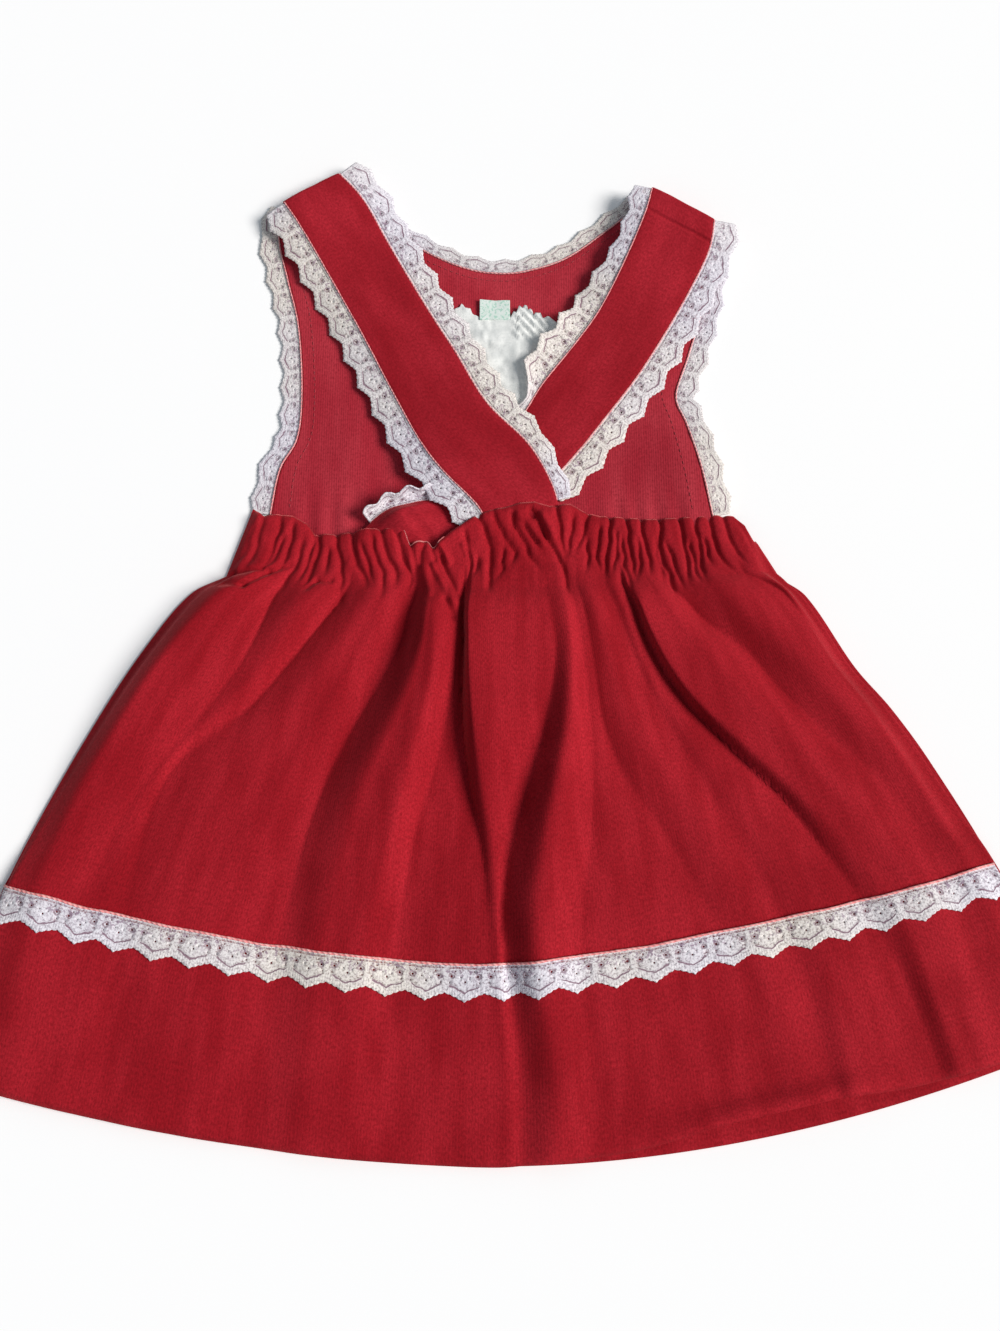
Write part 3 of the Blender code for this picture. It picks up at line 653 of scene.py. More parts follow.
# The furrows between the casing's pleats: depth, width, and the line down each in the picture
FURROWS = [
    (0.5, 1.2, ((255, 521), (248, 541), (243, 555), (233, 565))),
    (0.6, 1.2, ((262, 517), (260, 527), (256, 545), (252, 561), (245, 569))),
    (0.85, 1.1, ((281, 516), (277, 535), (273, 547), (268, 561), (262, 571))),
    (0.8, 0.9, ((284, 536), (279, 547), (273, 561), (264, 572))),
    (0.85, 1.0, ((294, 520), (291, 535), (290, 545), (286, 557), (279, 567), (275, 575))),
    (0.8, 1.0, ((303, 538), (300, 555), (295, 569), (285, 581), (281, 592))),
    (0.75, 0.9, ((314, 527), (313, 545), (309, 557), (304, 569), (299, 583))),
    (0.9, 1.1, ((319, 530), (317, 551), (315, 561), (311, 575), (304, 592))),
    (0.75, 0.9, ((329, 546), (327, 563), (324, 575))),
    (0.9, 1.1, ((337, 522), (337, 547), (340, 561), (342, 575), (339, 589), (342, 606))),
    (0.95, 1.2, ((352, 523), (353, 549), (356, 565), (364, 575), (367, 588))),
    (0.75, 0.9, ((361, 543), (365, 555), (369, 567), (371, 575), (373, 585))),
    (0.8, 1.0, ((372, 536), (375, 555), (379, 565), (383, 575), (382, 600))),
    (1.0, 1.3, ((381, 524), (384, 547), (389, 561), (396, 573), (397, 588))),
    (0.9, 1.2, ((396, 527), (400, 549), (405, 563), (411, 575), (408, 592))),
    (0.8, 1.2, ((407, 538), (412, 555), (417, 565), (416, 591), (412, 608))),
    (0.8, 1.1, ((428, 540), (421, 553), (418, 570))),
    (0.8, 1.0, ((431, 541), (432, 553), (435, 563), (445, 581), (450, 600))),
    (0.9, 1.1, ((436, 546), (442, 556), (442, 566), (452, 586), (460, 606))),
    (0.8, 0.9, ((464, 531), (467, 546), (471, 560), (469, 596))),
    (0.7, 0.8, ((478, 556), (477, 570), (473, 578))),
    (1.0, 1.15, ((477, 514), (484, 531), (490, 548), (491, 566), (490, 582), (489, 598))),
    (0.95, 1.0, ((493, 514), (498, 529), (508, 543), (515, 553), (511, 565))),
    (0.75, 0.8, ((505, 546), (502, 563), (505, 571), (497, 581))),
    (0.95, 1.0, ((510, 514), (513, 527), (522, 539), (529, 555), (539, 570))),
    (0.85, 0.9, ((522, 522), (536, 545), (544, 554))),
    (1.0, 1.0, ((531, 510), (541, 529), (553, 550), (563, 568), (568, 598))),
    (0.9, 1.0, ((556, 507), (559, 524), (563, 547), (565, 558))),
    (0.95, 1.1, ((575, 514), (570, 531), (568, 556))),
    (0.8, 0.85, ((589, 512), (584, 530), (578, 546), (574, 552))),
    (0.75, 0.8, ((586, 536), (588, 556), (586, 572))),
    (0.8, 0.85, ((600, 524), (598, 540), (596, 558), (600, 572))),
    (0.95, 0.95, ((609, 512), (610, 530), (607, 556), (605, 578))),
    (0.75, 0.8, ((617, 530), (617, 545), (615, 560), (612, 574))),
    (0.8, 0.85, ((622, 534), (623, 552), (625, 568), (629, 584), (636, 602))),
    (0.95, 0.95, ((627, 514), (628, 534), (631, 552), (633, 568), (635, 582))),
    (0.75, 0.8, ((637, 538), (640, 554), (640, 566), (637, 582))),
    (0.9, 0.9, ((642, 514), (643, 534), (646, 548), (650, 560), (649, 576))),
    (0.75, 0.8, ((656, 536), (657, 554), (660, 568), (664, 584))),
    (0.95, 0.95, ((660, 513), (660, 532), (659, 546), (664, 562), (670, 578), (676, 600))),
    (0.8, 0.8, ((666, 542), (672, 558), (676, 570), (683, 590))),
    (0.95, 0.95, ((678, 513), (682, 536), (686, 552), (688, 568), (686, 584))),
    (0.75, 0.8, ((689, 540), (693, 554), (694, 568), (698, 584))),
    (0.9, 0.95, ((693, 513), (698, 538), (702, 552), (700, 568), (705, 582))),
    (0.75, 0.8, ((704, 536), (708, 552), (711, 566))),
    (0.9, 0.95, ((708, 513), (713, 536), (718, 552), (724, 562), (735, 575))),
    (0.75, 0.9, ((722, 514), (729, 534), (738, 554), (746, 564))),
    (0.5, 1.1, ((736, 518), (746, 534), (752, 548))),
]
FURROW_HIGH = 5.0  # the furrows' height, where their lines are read


def furrow_field(x, y):
    """The share of the pleats' height that the furrows leave at every place."""
    left = np.ones_like(x)
    for k, (deep, wide, route) in enumerate(FURROWS):
        xs, ys = from_picture(*np.array(route, float).T, FURROW_HIGH)
        high, low = ys[0], ys[-1]
        along = np.clip(y, low, high)
        line = np.interp(along, ys[::-1], xs[::-1])
        line = line + 0.2 * np.sin(y / 1.9 + k) + 0.4 * noise(y / 4.0, k, 61)
        slope = np.interp(along, ys[::-1], np.gradient(xs, ys)[::-1])
        away = (x - line) / np.sqrt(1 + slope**2) / wide
        inside_ends = ramp(high + 1.5, high - 3.5, y) * ramp(low - 2.5, low + 5.5, y)
        gap = 0.72 * np.exp(-(away**2)) + 0.28 * np.exp(-((away / 2.0) ** 2))
        left = left * (1 - deep * gap * inside_ends)
    lumps = 1 + 0.1 * noise(x / 3.2, y / 3.6, 17) + 0.05 * noise(x / 1.5, y / 1.9, 18)
    return left * lumps


def gather_field(across, depth):
    """Even gathers for the back's waist, from 0 to 1, with depth in millimetres down from it."""
    turn = across * PLEATS * np.pi + 2.2 * noise(across * 9, depth / 30, 12)
    turn = turn + 0.5 * noise(across * 30, depth / 9, 13)
    return 0.5 + 0.5 * np.cos(turn)


FRONT_COLUMNS = 381
# The front's rows, as shares down the panel below the waist and shares up the casing
ROWS_DOWN = np.concatenate([
    np.linspace(0.0, 0.12, 24)[1:], np.linspace(0.12, 0.30, 22)[1:], np.linspace(0.30, 1.0, 52)[1:],
])
ROWS_UP = np.linspace(0.0, 1.0, 31)
# The front's left side rounds down to the surface: share down, and how wide the rounding is
LEFT_ROLL = ((0, 0.06, 0.16, 0.3, 0.45, 0.6, 0.75, 1), (4.4, 6.2, 6.6, 5.6, 4.2, 2.8, 2.0, 1.8))
LEFT_LOW = 1.5
# The sides turn down, by distance out and drop; the front's left side by a share of both
FRONT_WRAP, FRONT_WRAP_LEFT = ((0.9, -0.5), (1.4, -1.1), (1.5, -1.7)), (0.3, 0.35)
BACK_WRAP = ((0.35, -0.3), (0.5, -0.7))
STRAPS_UNDER_HEADER, HEADER_LIFT, LIFT_RAMP = (-74.0, 34.0), 4.2, 12.0
HEM_GAP, HEM_LIFT = 4.2, 4.6  # where the front's hem rides up on the right, over the back
RISE_OVER_LACE = 1.35  # the front over the back's lace, and the back's own cloth on it
FRONT_RISE, FRONT_FALL = (0.57, 0.65), (0.77, 0.84)
BACK_RISE, BACK_FALL = (0.668, 0.684), (0.767, 0.782)
FRONT_CLOTH, BACK_CLOTH = 1.15, 0.95  # the cloth's thickness
BACK_TOP = 1.28  # the back's upper face where it lies flat
FRONT_LEAST, BACK_LEAST = 1.2, 1.02  # the upper face stays at least this high, off the floor
# How far the outermost rows drop, from the edge
FRILL_DROPS, HEM_DROPS, BACK_HEM_DROPS = (1.6, 0.7, 0.15), (0.9, 0.3), (0.55, 0.15)

# Small ridges and pockets in the crumpled casing: two ends, radius, height
CRUMPLES = [
    (-32.5, 243, -24, 225, 3.0, 1.6), (-37.5, 242, -35, 230, 2.4, 1.2),
    (-31, 251, -27, 245, 2.2, 1.6), (-20, 252, -17, 247, 2.6, 1.2),
    (-11.5, 244, -10, 230, 2.2, 0.6), (8.3, 267.5, 9.5, 265.5, 1.8, -2.2),
    (13.7, 265, 18, 257, 3.0, 1.9), (3.4, 266, 13.6, 254, 2.4, 1.2),
    (-128, 235, -121, 240, 2.0, -1.4), (-121, 240, -108, 241.5, 2.0, -1.6),
    (-124, 234, -115, 233, 2.2, -1.6), (-115, 233, -105, 240, 2.2, -1.8),
    (-105, 240, -96, 244, 2.0, -1.4), (-120, 237.5, -110, 238.5, 2.2, 1.0),
    (-88, 232, -84, 236, 1.8, -1.2), (-84, 236, -78, 236, 1.8, -1.2),
    (-28, 226, -25, 219, 2.6, -1.5),
]


def front_plan(s, f, u):
    """The front's x and y before its folds lean: s across, f down the panel, u up the casing."""
    x, y = skirt_xy(s, f)
    # The right side comes in a little below the waist
    x = x - 2.6 * ramp(0.0, 0.05, f) * (1 - ramp(0.5, 0.75, f)) * ramp(0.9, 1.0, s)
    header_x, header_y = np.array(HEADER, float).T
    high_x = header_x[0] + (s + 1) / 2 * (header_x[-1] - header_x[0]) + curve(*LEANS, s)
    high_y = np.interp(high_x, header_x, header_y)
    # The frill's edge dips where a furrow ends in it
    high_y = high_y + 0.9 * (furrow_field(high_x, high_y - 1.5) - 0.75)
    return x + (high_x - x) * u, y + (high_y - y) * u


def rise_over_others(x, f, u):
    """How far the front rises over the straps' ends under its frill, and over the back's lace."""
    left, right = STRAPS_UNDER_HEADER
    over_straps = ramp(left, left + LIFT_RAMP, x) - ramp(right - LIFT_RAMP, right, x)
    over_lace = ramp(*FRONT_RISE, f) - ramp(*FRONT_FALL, f)
    return HEADER_LIFT * over_straps * u**1.3 + RISE_OVER_LACE * over_lace


def crumpling(x, y):
    height = np.zeros_like(x)
    for *ends, radius, tall in CRUMPLES:
        height += tall * capsule(x, y, *ends, radius)
    return height


def build_front():
    """The front with its casing and frill: the piece, and the grid of its upper face."""
    across = np.linspace(-1, 1, FRONT_COLUMNS)
    down = np.concatenate([np.zeros(len(ROWS_UP)), ROWS_DOWN])[::-1]  # hem first
    up = np.concatenate([ROWS_UP[::-1], np.zeros(len(ROWS_DOWN))])[::-1]
    depth = (down * SKIRT_LENGTH - up * CASING_LONG)[:, None]

    s, f, u = across[None, :], down[:, None], up[:, None]
    x, y = front_plan(s, f, u)
    # Below the casing the folds grow and the pleats fade; both are lower at the right edge
    folds, lean = fold_field(across, down)
    below_casing = ramp(-17.0, 8.0, depth)
    sides = np.where(s < 0, 1, ramp(0.0, 0.06, 1 - np.abs(s)))
    folds = folds * below_casing * sides
    pleats = PLEAT_TALL * furrow_field(x, y) * (1 - 0.3 * below_casing) - 0.2
    pleats = pleats * (1 - ramp(0.0, 0.14, f)) * (0.35 + 0.65 * sides)
    swells = 0.35 * noise(s * 9, f * 7 + 20, 5) + 0.16 * noise(s * 24, f * 16 + 7, 6)
    swells = swells * ramp(0.02, 0.2, f) * sides
    z = EDGE_TOP + (FLAT_TOP - EDGE_TOP) * sides + pleats + folds + swells
    z = z + rise_over_others(x, f, u) + crumpling(x, y)
    x = x + lean * folds
    from_side = np.hypot(x - x[:, :1], y - y[:, :1]) / curve(*LEFT_ROLL, f)
    rounded = np.where(s < 0, 1 - (1 - np.clip(from_side, 0.0, 1)) ** 1.1, 1)
    z = LEFT_LOW + (z - LEFT_LOW) * rounded

    for k, drop in enumerate(FRILL_DROPS):
        z[-1 - k] -= drop
    for k, drop in enumerate(HEM_DROPS):
        z[k] -= drop
    hem_up = ramp(0.22, 0.42, s) * (1 - ramp(0.56, 0.74, s)) * ramp(0.93, 1.0, f)
    points = together(x, y + HEM_GAP * hem_up, z + HEM_LIFT * hem_up)
    grid = with_sides(points, FRONT_WRAP, on_left=FRONT_WRAP_LEFT)
    grid[..., 2] = np.maximum(grid[..., 2], FRONT_LEAST)
    outside = np.arange(1, len(FRONT_WRAP) + 1) * 0.006
    flat = np.concatenate([-1 - outside[::-1], across, 1 + outside])
    uv = together(flat[None, :] * HALF_WIDTH, -depth)
    return cloth("skirt_front_panel", grid, uv, FRONT_CLOTH, RED), across, down, points


def build_back():
    across = np.linspace(-1, 1, 261)
    down = np.concatenate([np.linspace(0, 0.16, 34), np.linspace(0.16, 1, 76)[1:]])[::-1]
    s, f = across[None, :], down[:, None]
    raised = RISE_OVER_LACE * (ramp(*BACK_RISE, f) - ramp(*BACK_FALL, f))
    waist = 1 - ramp(0.06, 0.16, f)
    gathers = (gather_field(s, f * BACK_WAIST_Y) - 0.6) * 0.35 * waist
    z = BACK_TOP + raised + gathers + 0.12 * noise(s * 7, f * 5, 21) * (1 - waist)
    for k, drop in enumerate(BACK_HEM_DROPS):
        z[k] -= drop
    grid = with_sides(together(*back_xy(s, f), z), BACK_WRAP)
    grid[..., 2] = np.maximum(grid[..., 2], BACK_LEAST)
    flat = np.concatenate([[-1.01, -1.005], across, [1.005, 1.01]])
    uv = together(flat[None, :] * HALF_WIDTH, -down[:, None] * BACK_WAIST_Y)
    return cloth("skirt_back_panel", grid, uv, BACK_CLOTH, RED)


# ---------------------------------------------------------------- straps and bodice

# Each row gives both edges of the band and the underside's height, from the shoulder down.
LEFT_STRAP = np.array([
    (-106, 423, -81, 438, 1.8, 1.8), (-97, 409, -69, 424, 2.4, 2.4), (-84, 386, -57, 402, 3, 3),
    (-69, 358, -40, 371, 3.6, 3.6), (-55, 330, -26, 347, 4.6, 4.4), (-41, 303, -11, 320, 6.4, 5.4),
    (-30, 287, 9, 298, 7.2, 5.6), (-14, 270, 20, 274, 6.4, 5.0), (-9, 258, 17, 260, 3.0, 2.4),
], float)
RIGHT_STRAP = np.array([
    (67, 429, 95, 412, 1.8, 1.8), (63, 415, 92, 397, 2.4, 2.4), (54, 393, 83, 378, 3, 3),
    (42, 369, 70, 355, 3, 3), (30, 351, 57, 334, 3, 3), (15, 331, 43, 315, 3, 3),
    (4, 313, 30, 298, 2.8, 2.8), (-11, 297, 15, 282, 2.4, 2.2), (-27, 277.5, -4, 270, 2.4, 2),
    (-42, 273.2, -16, 262, 3.2, 2), (-55, 269, -24, 254, 3.4, 2), (-68, 257.5, -33, 247, 2.2, 2),
], float)
STRAP_CLOTH, STRAP_COLUMNS = 1.0, 33
STRAP_THICK = 1.5  # the band from its underside to its upper face
STRAP_MAP_START = 37  # millimetres across the cloth's map
STRAP_WRAP = ((0.3, -0.3), (0.45, -0.8), (0.5, -1.4))  # distance out, drop
# How the ends round down: distance out, and the share of the height lost
SHOULDER_ROLL = ((0.9, 0.06), (1.7, 0.2), (2.1, 0.45), (2.1, 0.75), (1.6, 1.0))
LOWER_ROLL = ((0.8, 0.35), (0.5, 0.15))
END_LOW, STRAP_LEAST = 1.2, 1.0  # how low the ends come, and the whole band's lowest place


def columns_at(table, share):
    """Each column's value at a share of the way down a table's rows."""
    stops = np.arange(len(table))
    return [curve(stops, column, np.asarray(share) * stops[-1]) for column in table.T]


def build_strap(name, table, rows, crown, bulge, raised):
    """A strap's band: the piece, and the grid of its upper face. bulge gives how far it stands
    up, from its places, the share down from the shoulder and the share across."""
    t = np.linspace(1, 0, rows)[:, None]
    u = np.linspace(0, 1, STRAP_COLUMNS)[None, :]
    left_x, left_y, right_x, right_y, left_z, right_z = columns_at(table, t)
    x, y = left_x + u * (right_x - left_x), left_y + u * (right_y - left_y)
    z = left_z + u * (right_z - left_z) + STRAP_THICK + crown * (1 - (2 * u - 1) ** 6)
    z = z + 0.22 * noise(u * 3 + 5, t * 9, len(name)) + 0.1 * noise(u * 7, t * 22, 13)
    z = z + raised * (1 - ramp(0.0, 0.3, t)) + bulge(x, y, t, u)
    points = together(x, y, z)
    grid = with_sides(points, STRAP_WRAP, unit(points[:, -1] - points[:, 0]))
    ends = []
    for edge, inner, rolls in (
        (grid[0], grid[1], LOWER_ROLL),
        (grid[-1], grid[-2], SHOULDER_ROLL),
    ):
        ahead = unit((edge - inner) * (1 - UP))
        fall = (END_LOW - edge[:, 2:]) * UP
        ends.append(np.stack([edge + ahead * out + fall * share for out, share in rolls]))
    grid = np.concatenate([ends[0], grid, ends[1]], 0)
    grid[..., 2] = np.maximum(grid[..., 2], STRAP_LEAST)
    width = np.linalg.norm(points[rows // 2, -1] - points[rows // 2, 0])
    flat = np.linspace(0, width, grid.shape[1])
    run = run_along(grid[:, grid.shape[1] // 2])
    uv = together(flat[None, :] + STRAP_MAP_START, run[:, None])
    return cloth(name, grid, uv, STRAP_CLOTH, RED_STRAP), points


# Both sides of the bodice, from the waist up: left x and y, right x and y
BODICE_SIDES = np.array([
    (-108, 250.35, 92, 250.35), (-106, 273, 88, 271), (-103, 291, 84, 292), (-96, 306, 79, 312),
    (-95, 330, 75, 326), (-98, 362, 81, 345), (-104, 386, 88, 368), (-109, 408, 93, 394),
    (-106, 423, 95, 412),
], float)
NECK = np.array([
    (-81, 438), (-60, 414), (-39, 400), (-19, 391), (-1, 389), (14, 392), (28, 398), (45, 411),
    (67, 429),
], float)
SHOULDER = 0.2  # share of the bodice's upper edge under each strap
BODICE_CLOTH, BODICE_TOP, BODICE_LEAST = 0.9, 1.3, 0.97


def bodice_xy(u, v):
    """The bodice's place: u from its left side to its right, v from the waist to the top."""
    side = columns_at(BODICE_SIDES, v)
    corner = BODICE_SIDES[-1]
    in_neck = np.clip((u - SHOULDER) / (1 - 2 * SHOULDER), 0, 1)
    left, right = np.clip(u / SHOULDER, 0, 1), np.clip((1 - u) / SHOULDER, 0, 1)
    places = []
    for k, top in enumerate(on_outline(NECK, in_neck)):
        top = np.where(u < SHOULDER, corner[k] + left * (NECK[0, k] - corner[k]), top)
        on_right = corner[k + 2] + right * (NECK[-1, k] - corner[k + 2])
        top = np.where(1 - u < SHOULDER, on_right, top)
        across = (1 - u) * side[k] + u * side[k + 2]
        places.append(across + v * (top - (1 - u) * corner[k] - u * corner[k + 2]))
    return places


def build_bodice():
    """The bodice's back, inside out: the piece, and the grid of its upper face."""
    u = np.linspace(0, 1, 141)[None, :]
    v = np.linspace(0, 1, 131)[:, None]
    x, y = bodice_xy(u, v)
    z = BODICE_TOP + 0.28 * noise(x / 26, y / 38, 31) + 0.1 * noise(x / 9, y / 16, 33)
    bulge = swelling(x, y, 62, 300, 14, 26) + 0.8 * swelling(x, y, -72, 300, 12, 24)
    edges = ramp(0, 0.05, np.minimum(u, 1 - u)) * ramp(0, 0.05, 1 - v)
    gathers = 0.5 * np.sin(u * 2 * np.pi * 19 + 2 * noise(u * 8, v * 3, 4))
    gathers = gathers * (1 - ramp(0.02, 0.2, v))
    z = z + (bulge + gathers) * edges - (1 - edges) * 0.25
    z = np.maximum(z + 4.2 * swelling(x, y, 86, 286, 18, 30), BODICE_LEAST)
    points = together(x, y, z)
    return cloth("back_bodice_panel", points, together(x, y), BODICE_CLOTH, RED_INSIDE), points


# ---------------------------------------------------------------- lace


def dot(x, y, radius, squash=1.0, sides=7):
    a = np.arange(sides) * 2 * np.pi / sides
    return np.stack([x + radius * np.cos(a), y + radius * squash * np.sin(a)], 1)


def lace_holes():
    """The eyelets of one repeat, charted across and down from the cord at the top."""
    mid = LACE_LONG / 2
    holes = [dot(mid + 0.2, 6.9, 0.4), dot(mid - 1.6, 5.2, 0.22), dot(mid + 1.9, 5.6, 0.2)]
    for side in (-1, 1):
        holes.append(dot(mid + side * EYE_OUT, EYE_DOWN, 0.5, 0.85))
        holes.append(dot(mid + side * 3.8, 2.9, 0.28))
        holes.append(dot(mid + side * 5.9, 7.2, 0.24))
    return holes


def inside(points, polygon):
    """Which points are inside a polygon."""
    x, y = points.T
    hit = np.zeros(len(points), bool)
    for (x1, y1), (x2, y2) in zip(polygon, np.roll(polygon, -1, axis=0)):
        crosses = (y1 > y) != (y2 > y)
        if y1 != y2:
            hit ^= crosses & (x < (x2 - x1) * (y - y1) / (y2 - y1) + x1)
    return hit


def used_only(verts, faces):
    """The places that the faces use, and the faces with these places' numbers."""
    used, numbers = np.unique(faces, return_inverse=True)
    return verts[used], numbers.reshape(faces.shape)


def lace_tile():
    """One repeat as flat triangles. Its left and right sides have points at the same heights."""
    side = np.array([0.0, 1.2, 2.3, 3.5, 4.7, 5.9, 7.1, 8.3, 9.6, 11.0])
    spans = 42  # along the scalloped edge, with a picot on every sixth
    x = np.linspace(0, LACE_LONG, spans + 1)
    part = 1 - np.abs(2 * x / LACE_LONG - 1)
    picots = np.abs(np.sin(np.arange(spans + 1) * np.pi / 6))
    tips = side[-1] + 3.2 * part**1.25 + 0.42 * picots
    top = np.linspace(0, LACE_LONG, 9)
    outline = np.concatenate([
        together(x, tips), together(LACE_LONG, side[::-1][1:]), together(top[::-1][1:], 0.0),
        together(0.0, side[1:-1]),
    ])
    holes = lace_holes()
    # Points between the lines, a little off a square grid
    random = np.random.default_rng(5)
    gx, gy = np.meshgrid(np.arange(0.9, LACE_LONG - 0.5, 1.25), np.arange(0.8, 14.0, 1.25))
    fill = np.stack([gx.ravel(), gy.ravel()], 1) + random.uniform(-0.15, 0.15, (gx.size, 2))
    keep = inside(fill, outline)
    for loop in [outline] + holes:
        keep &= np.linalg.norm(fill[:, None] - loop[None], axis=2).min(1) > 0.5
    for hole in holes:
        keep &= ~inside(fill, hole)
    points, edges = [], []
    for loop in [outline] + holes:
        start = len(points)
        points += loop.tolist()
        edges += [(start + k, start + (k + 1) % len(loop)) for k in range(len(loop))]
    points += fill[keep].tolist()
    made = geometry.delaunay_2d_cdt([Vector(p) for p in points], edges, [], 0, 1e-5)
    verts = np.array([tuple(p) for p in made[0]])
    faces = np.array([f for f in made[2] if len(f) == 3])
    middle = verts[faces].mean(1)
    solid = inside(middle, outline)
    for hole in holes:
        solid &= ~inside(middle, hole)
    return used_only(verts, faces[solid])


TILE_VERTS, TILE_FACES = lace_tile()


def tile_side(at_side):
    """The tile's points on one side, from the cord down."""
    found = np.flatnonzero(at_side)
    return found[np.argsort(TILE_VERTS[found, 1])]


def lace_band(name, repeats, place):
    """Lace along a band. place(share along, share across) gives drafting places."""
    n = len(TILE_VERTS)
    left = tile_side(TILE_VERTS[:, 0] < 1e-4)
    right = tile_side(TILE_VERTS[:, 0] > LACE_LONG - 1e-4)
    verts = np.concatenate([TILE_VERTS + np.array([k * LACE_LONG, 0]) for k in range(repeats)])
    faces = np.concatenate([TILE_FACES + k * n for k in range(repeats)])
    merge = np.arange(len(verts))  # each repeat begins on the last one's right side
    for k in range(1, repeats):
        merge[left + k * n] = right + (k - 1) * n
    verts, faces = used_only(verts, merge[faces])
    places = place(verts[:, 0] / (repeats * LACE_LONG), verts[:, 1] / LACE_WIDE)
    a, b, c = (places[faces[:, k]] for k in range(3))
    if np.cross(b - a, c - a)[:, 2].sum() < 0:
        faces = faces[:, ::-1]
    return thicken(add_piece(name, places, faces, {"Lace": verts}, LACE), LACE_CLOTH)


def ring_faces(rows, sides, start=0):
    """The faces between rings of points that follow each other."""
    faces = []
    for r in range(rows - 1):
        low, high = start + r * sides, start + (r + 1) * sides
        for k in range(sides):
            j = (k + 1) % sides
            faces.append((low + k, high + k, high + j, low + j))
    return faces


def tube(name, path, radius, look, sides=6):
    """A thread along a path, with the Cloth map along and round it."""
    path = np.asarray(path, float)
    along = unit(np.gradient(path, axis=0))
    across = unit(np.cross(along, UP))
    lift = unit(np.cross(across, along))
    a = (np.arange(sides) * 2 * np.pi / sides)[None, :, None]
    ring = across[:, None] * np.cos(a) + lift[:, None] * np.sin(a)
    verts = path[:, None] + ring * np.broadcast_to(radius, len(path))[:, None, None]
    uv = together(run_along(path)[:, None], np.arange(sides)[None, :] * 0.4)
    faces = ring_faces(len(path), sides)
    return add_piece(name, verts.reshape(-1, 3), faces, {"Cloth": uv.reshape(-1, 2)}, look)


EDGE_SMOOTHED = 6  # how many millimetres each way an edge's direction is smoothed over
LACE_LEAST = 0.62  # the lace's face stays at least this high, off the floor


def value(what, at):
    """A number, or a function of the share along, at every share."""
    return what(at) if callable(what) else np.full_like(at, what)


def edge_lace(name, edge, width, drop, seed, curl=0.0, ruffle=0.5, thread=1.0):
    """Lace sewn to an edge, and its cord. The panel is on the right of the edge's direction.
    Each setting is a number or a function of the share along it: how far the lace reaches, how
    far its tips hang below the edge, the angle in radians that it rolls through, how much it
    waves and how thick its cord is."""
    edge = resample(edge, 1.0)
    run = run_along(edge)
    share = run / run[-1]
    window = np.ones(2 * EDGE_SMOOTHED + 1) / (2 * EDGE_SMOOTHED + 1)
    padded = np.pad(edge, ((EDGE_SMOOTHED, EDGE_SMOOTHED), (0, 0)), "edge")
    smooth = np.stack([np.convolve(column, window, "valid") for column in padded.T], 1)
    out = unit(np.cross(UP, np.gradient(smooth, axis=0)))
    repeats = max(1, int(round(run[-1] / (LACE_LONG * 0.97))))

    def place(at, across):
        base, side = on_path(at, share, edge), unit(on_path(at, share, out))
        reach, turn = value(width, at), value(curl, at)
        bend = np.maximum(np.abs(turn), 1e-4)
        rolled = np.abs(turn) > 1e-3
        flat = np.where(rolled, reach / bend * np.sin(bend * across), reach * across)
        rise = reach / bend * (1 - np.cos(bend * across)) * np.sign(turn + 1e-9)
        fall = value(drop, at) * across**1.6
        turns = at * repeats * 2 * np.pi
        lumps = noise(at * repeats * 1.1, across, seed) + 0.5 * np.sin(turns + 1.0)
        result = base + side * flat[:, None]
        result[:, 2] += np.where(rolled, rise, 0) - fall + value(ruffle, at) * across * lumps
        result[:, 2] = np.maximum(result[:, 2], LACE_LEAST)
        return result

    line = resample(edge, 1.4)
    steps = np.arange(len(line))
    line = line - 0.25 * unit(np.cross(np.gradient(line, axis=0), UP))
    line[:, 2] += 0.25 + 0.12 * noise(steps * 0.45, 0, seed + 3)
    radius = 0.34 + 0.06 * noise(steps * 0.6, 1, seed)
    radius = radius * value(thread, np.linspace(0, 1, len(line)))
    return [lace_band(name, repeats, place), tube(name + "_cord", line, radius, STRAP_CORD)]


STITCH = ((-0.5, 0.3), (-0.3, 1.0), (0.3, 1.0), (0.5, 0.3))  # share along, share of thickness
STITCH_SIDES = 4


def stitch_row(name, path, spacing, long, look, thick=0.22):
    """A row of small stitches lying along a path."""
    path = resample(path, spacing)
    verts, faces, uvs = [], [], []
    for point, ahead in zip(path, unit(np.gradient(path, axis=0))):
        side = unit(np.cross(ahead, UP))
        faces += ring_faces(len(STITCH), STITCH_SIDES, len(verts))
        for t, scale in STITCH:
            for a in range(STITCH_SIDES):
                angle = a * 2 * np.pi / STITCH_SIDES
                away = (side * np.cos(angle) + UP * np.sin(angle)) * thick * scale
                verts.append(point + ahead * t * long + away)
                uvs.append((t * long, a * 0.3))
    return add_piece(name, verts, faces, {"Cloth": uvs}, look)


